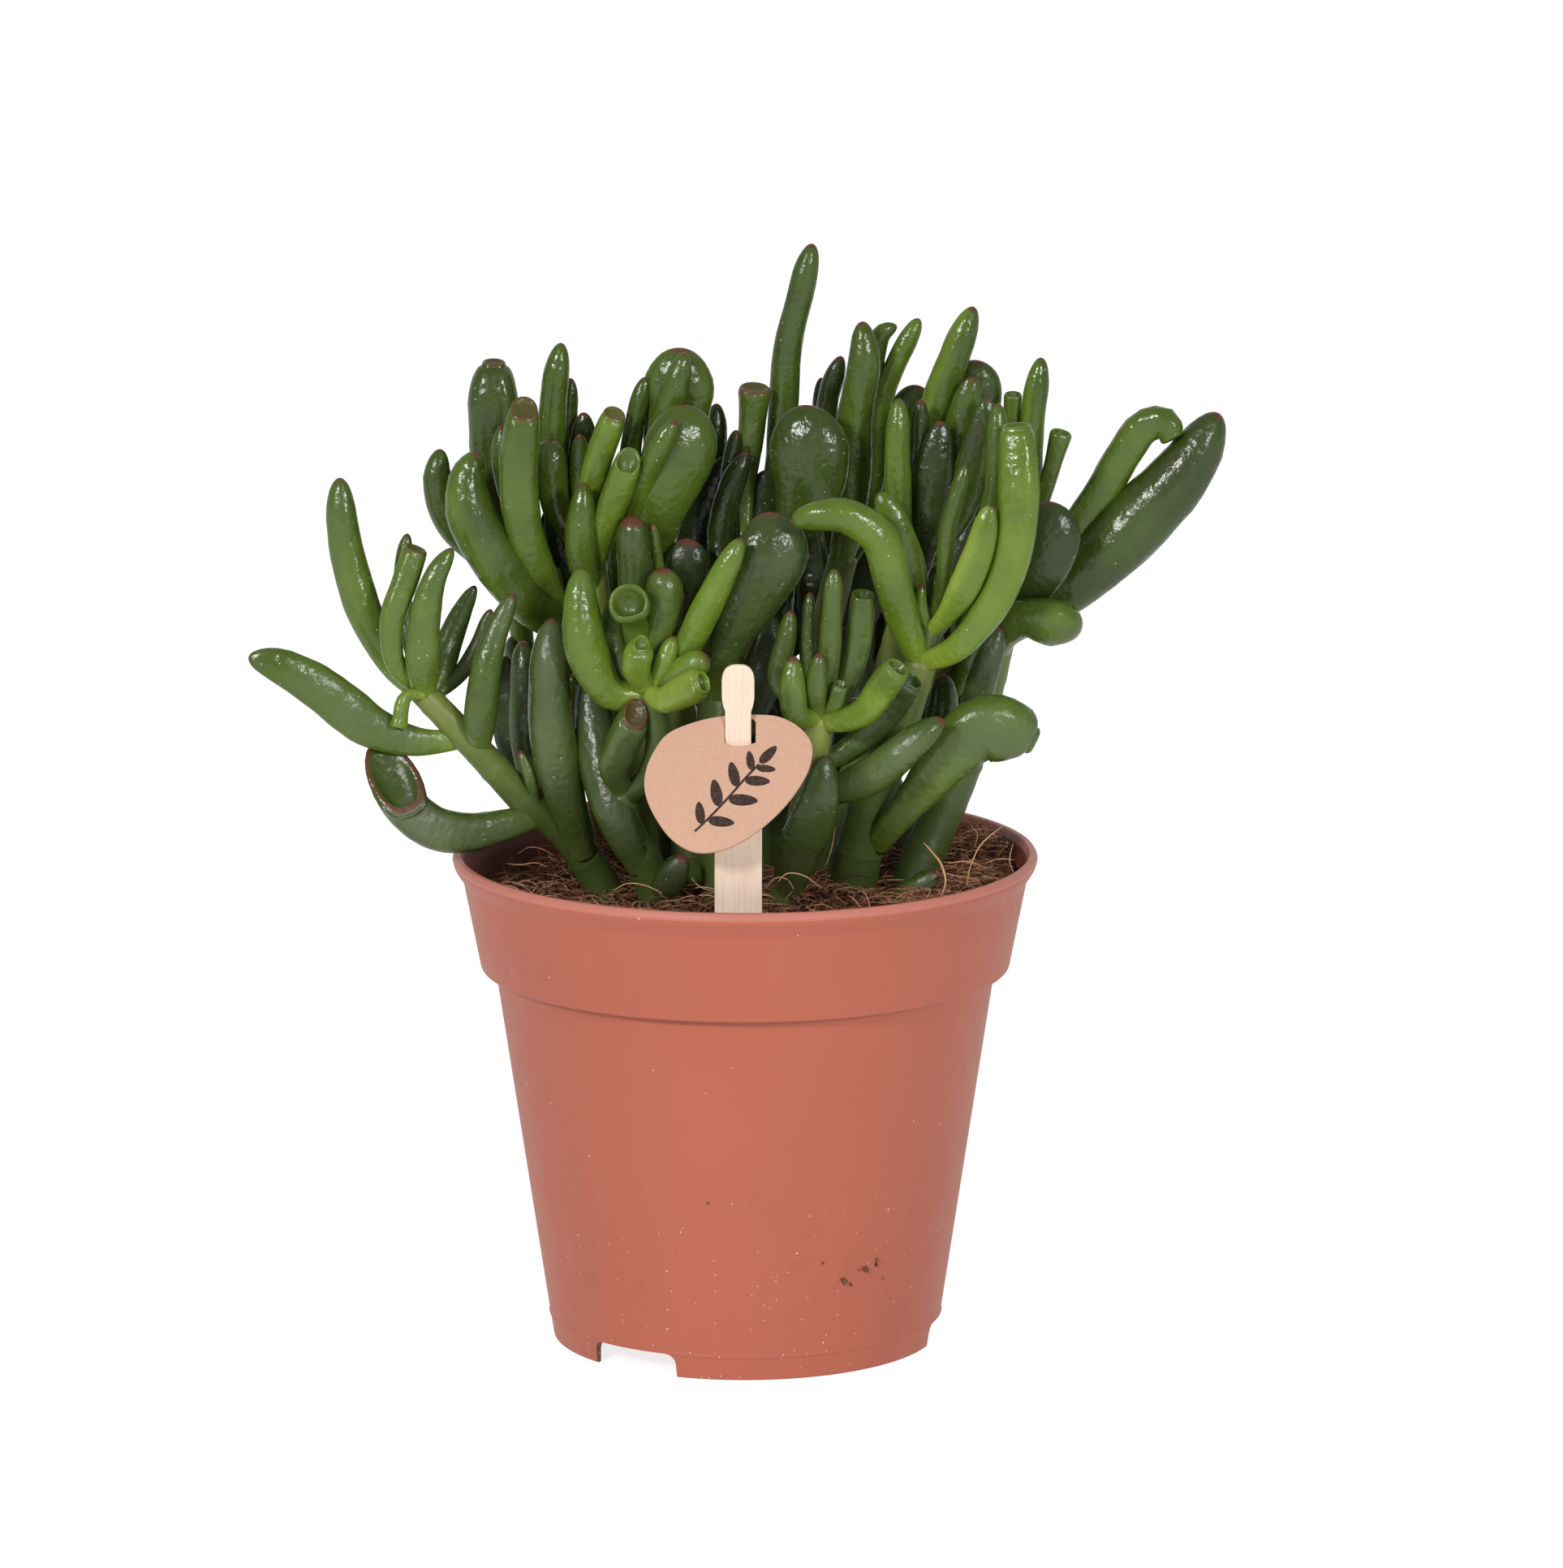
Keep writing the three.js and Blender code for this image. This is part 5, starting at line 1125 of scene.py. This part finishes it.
def grow_leaf(skin, leaf, draw):
    path = Path(leaf["path"])
    half = leaf["width"] / 2
    sides = 16 if leaf["width"] < 4 else 24
    flatness = leaf["flatness"]
    up = leaf["path"][len(leaf["path"]) // 2].z
    tone = min(max(leaf["tone"] + draw(-0.05, 0.05), 0), 1)
    bloom = min(max((178 - up) / 70, 0.08), 1) * (1 - 0.8 * tone) * draw(0.7, 1)
    redness = draw(0.45, 1)
    kind = (tone, bloom, 0)
    mouth = leaf.get("mouth", 0)
    shallow = 0.7 if leaf["rim"] > 0.6 else 0
    if mouth:
        wide = mouth / leaf["width"]
        body_end = 1 + CUP_LIP[0][0] * mouth / path.length
        shoulder = 0.8
        redness = redness * leaf["rim"] if leaf["rim"] < 0.6 else max(redness, 0.85)
    else:
        wide = 0
        body_end = 1
        shoulder = 1 - 1.9 * min(leaf["tip"] * leaf["width"] / path.length, 0.18)
        redness *= 1.15
    count = max(8, round(shoulder * path.length / RING_GAP))
    shares = [shoulder * i / count for i in range(count + 1)]
    shares += [shoulder + (body_end - shoulder) * math.sin(turn * math.pi / 2) for turn in TIP_TURNS]
    shares += [body_end] if mouth else []
    groove = 0.16 if mouth else 0.0
    lean = leaf.get("lean", 0)
    places = path.stations([*shares, 1], leaf["face"])
    rings = []
    for share, station in zip(shares, places):
        size = girth(leaf["rows"], min(share, 0.8))
        over = max(0, (share - shoulder) / (body_end - shoulder))
        arch = math.sqrt(max(0, 1 - over ** 2))
        size = wide + (size - wide) * (arch if wide < size else 1 - over ** 1.5)
        tilt = lean * max(0, (share - 0.8) / 0.2)
        rest = (1 - share) * path.length
        red = 0 if mouth else redness * max(0, 1 - rest / (1.7 + 2.5 * max(0, leaf["rim"] - 0.5)))
        size *= half
        rings.append(skin.ring(station, size, size * flatness, sides, tilt, (share, red), kind,
                               groove, pale=leaf["pale"]))
    if mouth:
        end, along, facing, side = places[-1]
        inside = 0
        for rise, size in CUP_LIP[1:]:
            if size < 0.8:
                rise *= 1 - shallow
            station = (end + along * (rise * mouth), along, facing, side)
            radius = mouth / 2 * size
            # How deep a ring lies in the mouth: it darkens the hollow there, partly as painted shade
            inside = min(1, max(inside, (0.82 - size) * 5))
            rim = redness * max(0, 1 - abs(size - 0.86) * 7, 0.7 * shallow)
            hollow = (tone, bloom, inside)
            rings.append(skin.ring(station, radius, radius * flatness, sides, lean, (1, rim),
                                   hollow, groove))
        deepest = end - along * (0.29 * mouth * (1 - shallow))
        last = skin.add(deepest, (1, 0, redness * shallow), (tone, bloom, 1))
    else:
        last = skin.add(path.at(1), (1, 0, redness), kind)
    first = skin.add(path.at(0), (0, 0, 0), kind)
    skin.tube(rings, first, last, 0)


def grow_stem(skin, stalk):
    path = Path(stalk["path"])
    count = round(path.length / 1.1)
    shares = [i / count for i in range(count + 1)]
    kind = (stalk["tone"], 0, 0)
    rings = []
    for share, station in zip(shares, path.stations(shares, stalk["face"])):
        radius = stalk["foot"] + (stalk["top"] - stalk["foot"]) * share
        joint = abs((share * path.length / 9.5) % 1 - 0.5) * 2
        radius *= 1 + 0.05 * max(0, joint - 0.75) / 0.25
        rings.append(skin.ring(station, radius, radius, 24, 0, (share, joint), kind, ripple=0.7))
    end, along, _, _ = path.stations([1], stalk["face"])[0]
    last = skin.add(end + along * (0.6 * stalk["top"]), (1, 0, 0), kind)
    first = skin.add(path.at(0), (0, 0, 0), kind)
    skin.tube(rings, first, last, 1)


LEAF_OLD = (0.016, 0.026, 0.005)
LEAF_DARK = (0.034, 0.058, 0.006)
LEAF_GREEN = (0.072, 0.120, 0.010)
LEAF_FRESH = (0.138, 0.220, 0.016)
LEAF_YOUNG = (0.260, 0.345, 0.040)
LEAF_WAX = (0.160, 0.190, 0.120)
LEAF_TIP = (0.120, 0.030, 0.018)
LEAF_SALT = (0.60, 0.64, 0.54)
STEM_FOOT = (0.042, 0.068, 0.014)
STEM_MIDDLE = (0.085, 0.125, 0.026)
STEM_TOP = (0.250, 0.290, 0.060)
STEM_SCAR = (0.180, 0.170, 0.080)

skin_finish = Finish("succulent leaf skin", IOR=1.45, Subsurface_Weight=0.12, Subsurface_Scale=0.002,
                     Subsurface_Radius=(0.5, 1.0, 0.2), Specular_IOR_Level=0.55)
mark = skin_finish.node("Attribute", {"attribute_name": "leaf_mark"}, output="Vector")
kind = skin_finish.node("Attribute", {"attribute_name": "leaf_kind"}, output="Vector")
share, front, red = (skin_finish.part(mark, axis) for axis in range(3))
tone, bloom, hollow = (skin_finish.part(kind, axis) for axis in range(3))
turn = skin_finish.node("Attribute", {"attribute_name": "leaf_turn"}, output="Vector")
paler, edge = skin_finish.part(turn, 0), skin_finish.part(turn, 1)
clouds = skin_finish.cloud(110, 3)
age = tone + (clouds - 0.5) * 0.34 + skin_finish.step(share, 0.3, 0) * 0.30
age = age - skin_finish.step(share, 0.5, 1) * 0.08 + skin_finish.step(paler, -0.2, 0.8) * 0.24
age = age + skin_finish.step(edge, 0.2, 1) * 0.16
stops = [(0, LEAF_OLD), (0.22, LEAF_DARK), (0.48, LEAF_GREEN), (0.72, LEAF_FRESH), (1, LEAF_YOUNG)]
colour = skin_finish.node("ValToRGB", {"stops": stops}, {0: age})
waxy = skin_finish.step(front, 0.25, 0.9) * bloom
waxy = waxy * skin_finish.step(skin_finish.cloud(70, 3), 0.25, 0.65)
colour = skin_finish.mix(waxy * 0.62, colour, LEAF_WAX)
# Partly painted shade: the inside of each mouth darkens with its depth, over the darker, glassy face that
# the hollow has
colour = skin_finish.mix(hollow * 0.45, colour, LEAF_DARK)
blush = skin_finish.step(red + (skin_finish.cloud(900, 2) - 0.5) * 0.5, 0.2, 0.75)
colour = skin_finish.mix(blush * 0.85, colour, LEAF_TIP)
salt = skin_finish.dots(560, 0.00019, 0.34)
salt = salt * skin_finish.step(skin_finish.cloud(45, 2), 0.44, 0.56)
colour = skin_finish.mix(salt * 0.8, colour, LEAF_SALT)
pores = skin_finish.cloud(1000, 3)
dimples = skin_finish.node("TexVoronoi", {"feature": "SMOOTH_F1"},
                           {"Vector": skin_finish.place, "Scale": 560})
swells = skin_finish.cloud(300, 2)
relief = skin_finish.bump(pores * 0.45 + dimples * 0.6 + swells * 0.5, 0.5, 0.0006)
skin_finish.feed(
    Base_Color=colour,
    Roughness=0.15 + waxy * 0.30 + clouds * 0.10 + hollow * 0.1,
    Normal=relief,
)
stem_finish = Finish("succulent stem skin", Specular_IOR_Level=0.5, IOR=1.45)
mark = stem_finish.node("Attribute", {"attribute_name": "leaf_mark"}, output="Vector")
share, joint = stem_finish.part(mark, 0), stem_finish.part(mark, 2)
kind = stem_finish.node("Attribute", {"attribute_name": "leaf_kind"}, output="Vector")
paleness = share * (0.3 + 1.4 * stem_finish.part(kind, 0))
clouds = stem_finish.cloud(160, 4)
stops = [(0, STEM_FOOT), (0.45, STEM_MIDDLE), (1, STEM_TOP)]
colour = stem_finish.node("ValToRGB", {"stops": stops}, {0: paleness + (clouds - 0.5) * 0.3})
colour = stem_finish.mix(stem_finish.step(joint, 0.93, 0.99) * 0.5, colour, STEM_SCAR)
stem_finish.feed(
    Base_Color=colour,
    Roughness=0.36 + clouds * 0.15,
    Normal=stem_finish.bump(clouds + stem_finish.cloud(900, 3) * 0.4, 0.4, 0.0006),
)
draw = random_from(4711)
for name, parts in SHOOTS.items():
    skin = Skin()
    for part in parts:
        if "foot" in part:
            grow_stem(skin, part)
        else:
            grow_leaf(skin, part, draw)
    shoot = skin.piece(f"{name}_grown", [skin_finish.material, stem_finish.material])
    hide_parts(name)
    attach(shoot, "root")

# The studio: a plain pale floor, shown whiter than the light that it gives, two soft boxes in
# front and to the sides, a pale sky that is brighter at the back, and a camera 2 m away that looks
# down a little, as the photograph's did
FLOOR_WHITE = (0.55, 0.55, 0.55, 1)
FLOOR_SEEN = 0.8
FLOOR_GLOW = 0.45
SKY_FRONT = 0.4
SKY_BACK = 0.82
FRAME_PIXELS = 1932
LENS_PIXELS = 12044
SENSOR = 36
LIGHTS = [
    ("left_box", (-0.75, -1.35, 0.82), 0.22, 13),
    ("right_box", (0.75, -1.4, 0.66), 0.2, 9.2),
]
AIM = Vector((AIM_X, 0, AIM_Z)) * MM

bpy.ops.mesh.primitive_plane_add(size=16)
floor = bpy.context.object
floor.name = "studio_floor"
floor_finish = Finish("studio floor", Roughness=0.9, Base_Color=FLOOR_WHITE, Specular_IOR_Level=0,
                      Emission_Strength=1)
looked_at = floor_finish.node("LightPath", output="Is Camera Ray")
floor_finish.feed(Emission_Color=FLOOR_GLOW + looked_at * (FLOOR_SEEN - FLOOR_GLOW))
floor.data.materials.append(floor_finish.material)
world = bpy.data.worlds.new("pale sky")
world.use_nodes = True
sky = world.node_tree
way = sky.nodes.new("ShaderNodeTexCoord")
parts = sky.nodes.new("ShaderNodeSeparateXYZ")
fade = sky.nodes.new("ShaderNodeMapRange")
strengths = {"From Min": 0.1, "From Max": 0.8, "To Min": SKY_FRONT, "To Max": SKY_BACK}
for socket, value in strengths.items():
    fade.inputs[socket].default_value = value
sky.links.new(way.outputs["Generated"], parts.inputs[0])
sky.links.new(parts.outputs["Y"], fade.inputs["Value"])
sky.links.new(fade.outputs["Result"], sky.nodes["Background"].inputs["Strength"])
sky.nodes["Background"].inputs["Color"].default_value = (1, 1, 1, 1)
bpy.context.scene.world = world
for name, place, size, power in LIGHTS:
    bpy.ops.object.light_add(type="AREA", location=place)
    lamp = bpy.context.object
    lamp.name = name
    lamp.data.size = size
    lamp.data.energy = power
    lamp.rotation_euler = (AIM - Vector(place)).to_track_quat("-Z", "Y").to_euler()
bpy.ops.object.camera_add()
camera = bpy.context.object
camera.location = AIM + Vector((0, -math.cos(VIEW_TILT), math.sin(VIEW_TILT))) * (VIEW_DISTANCE * MM)
camera.rotation_euler = (math.pi / 2 - VIEW_TILT, 0, 0)
camera.data.sensor_width = SENSOR
camera.data.lens = LENS_PIXELS / FRAME_PIXELS * SENSOR
camera.data.clip_end = 20
bpy.context.scene.camera = camera
bpy.context.scene.view_settings.view_transform = "Standard"
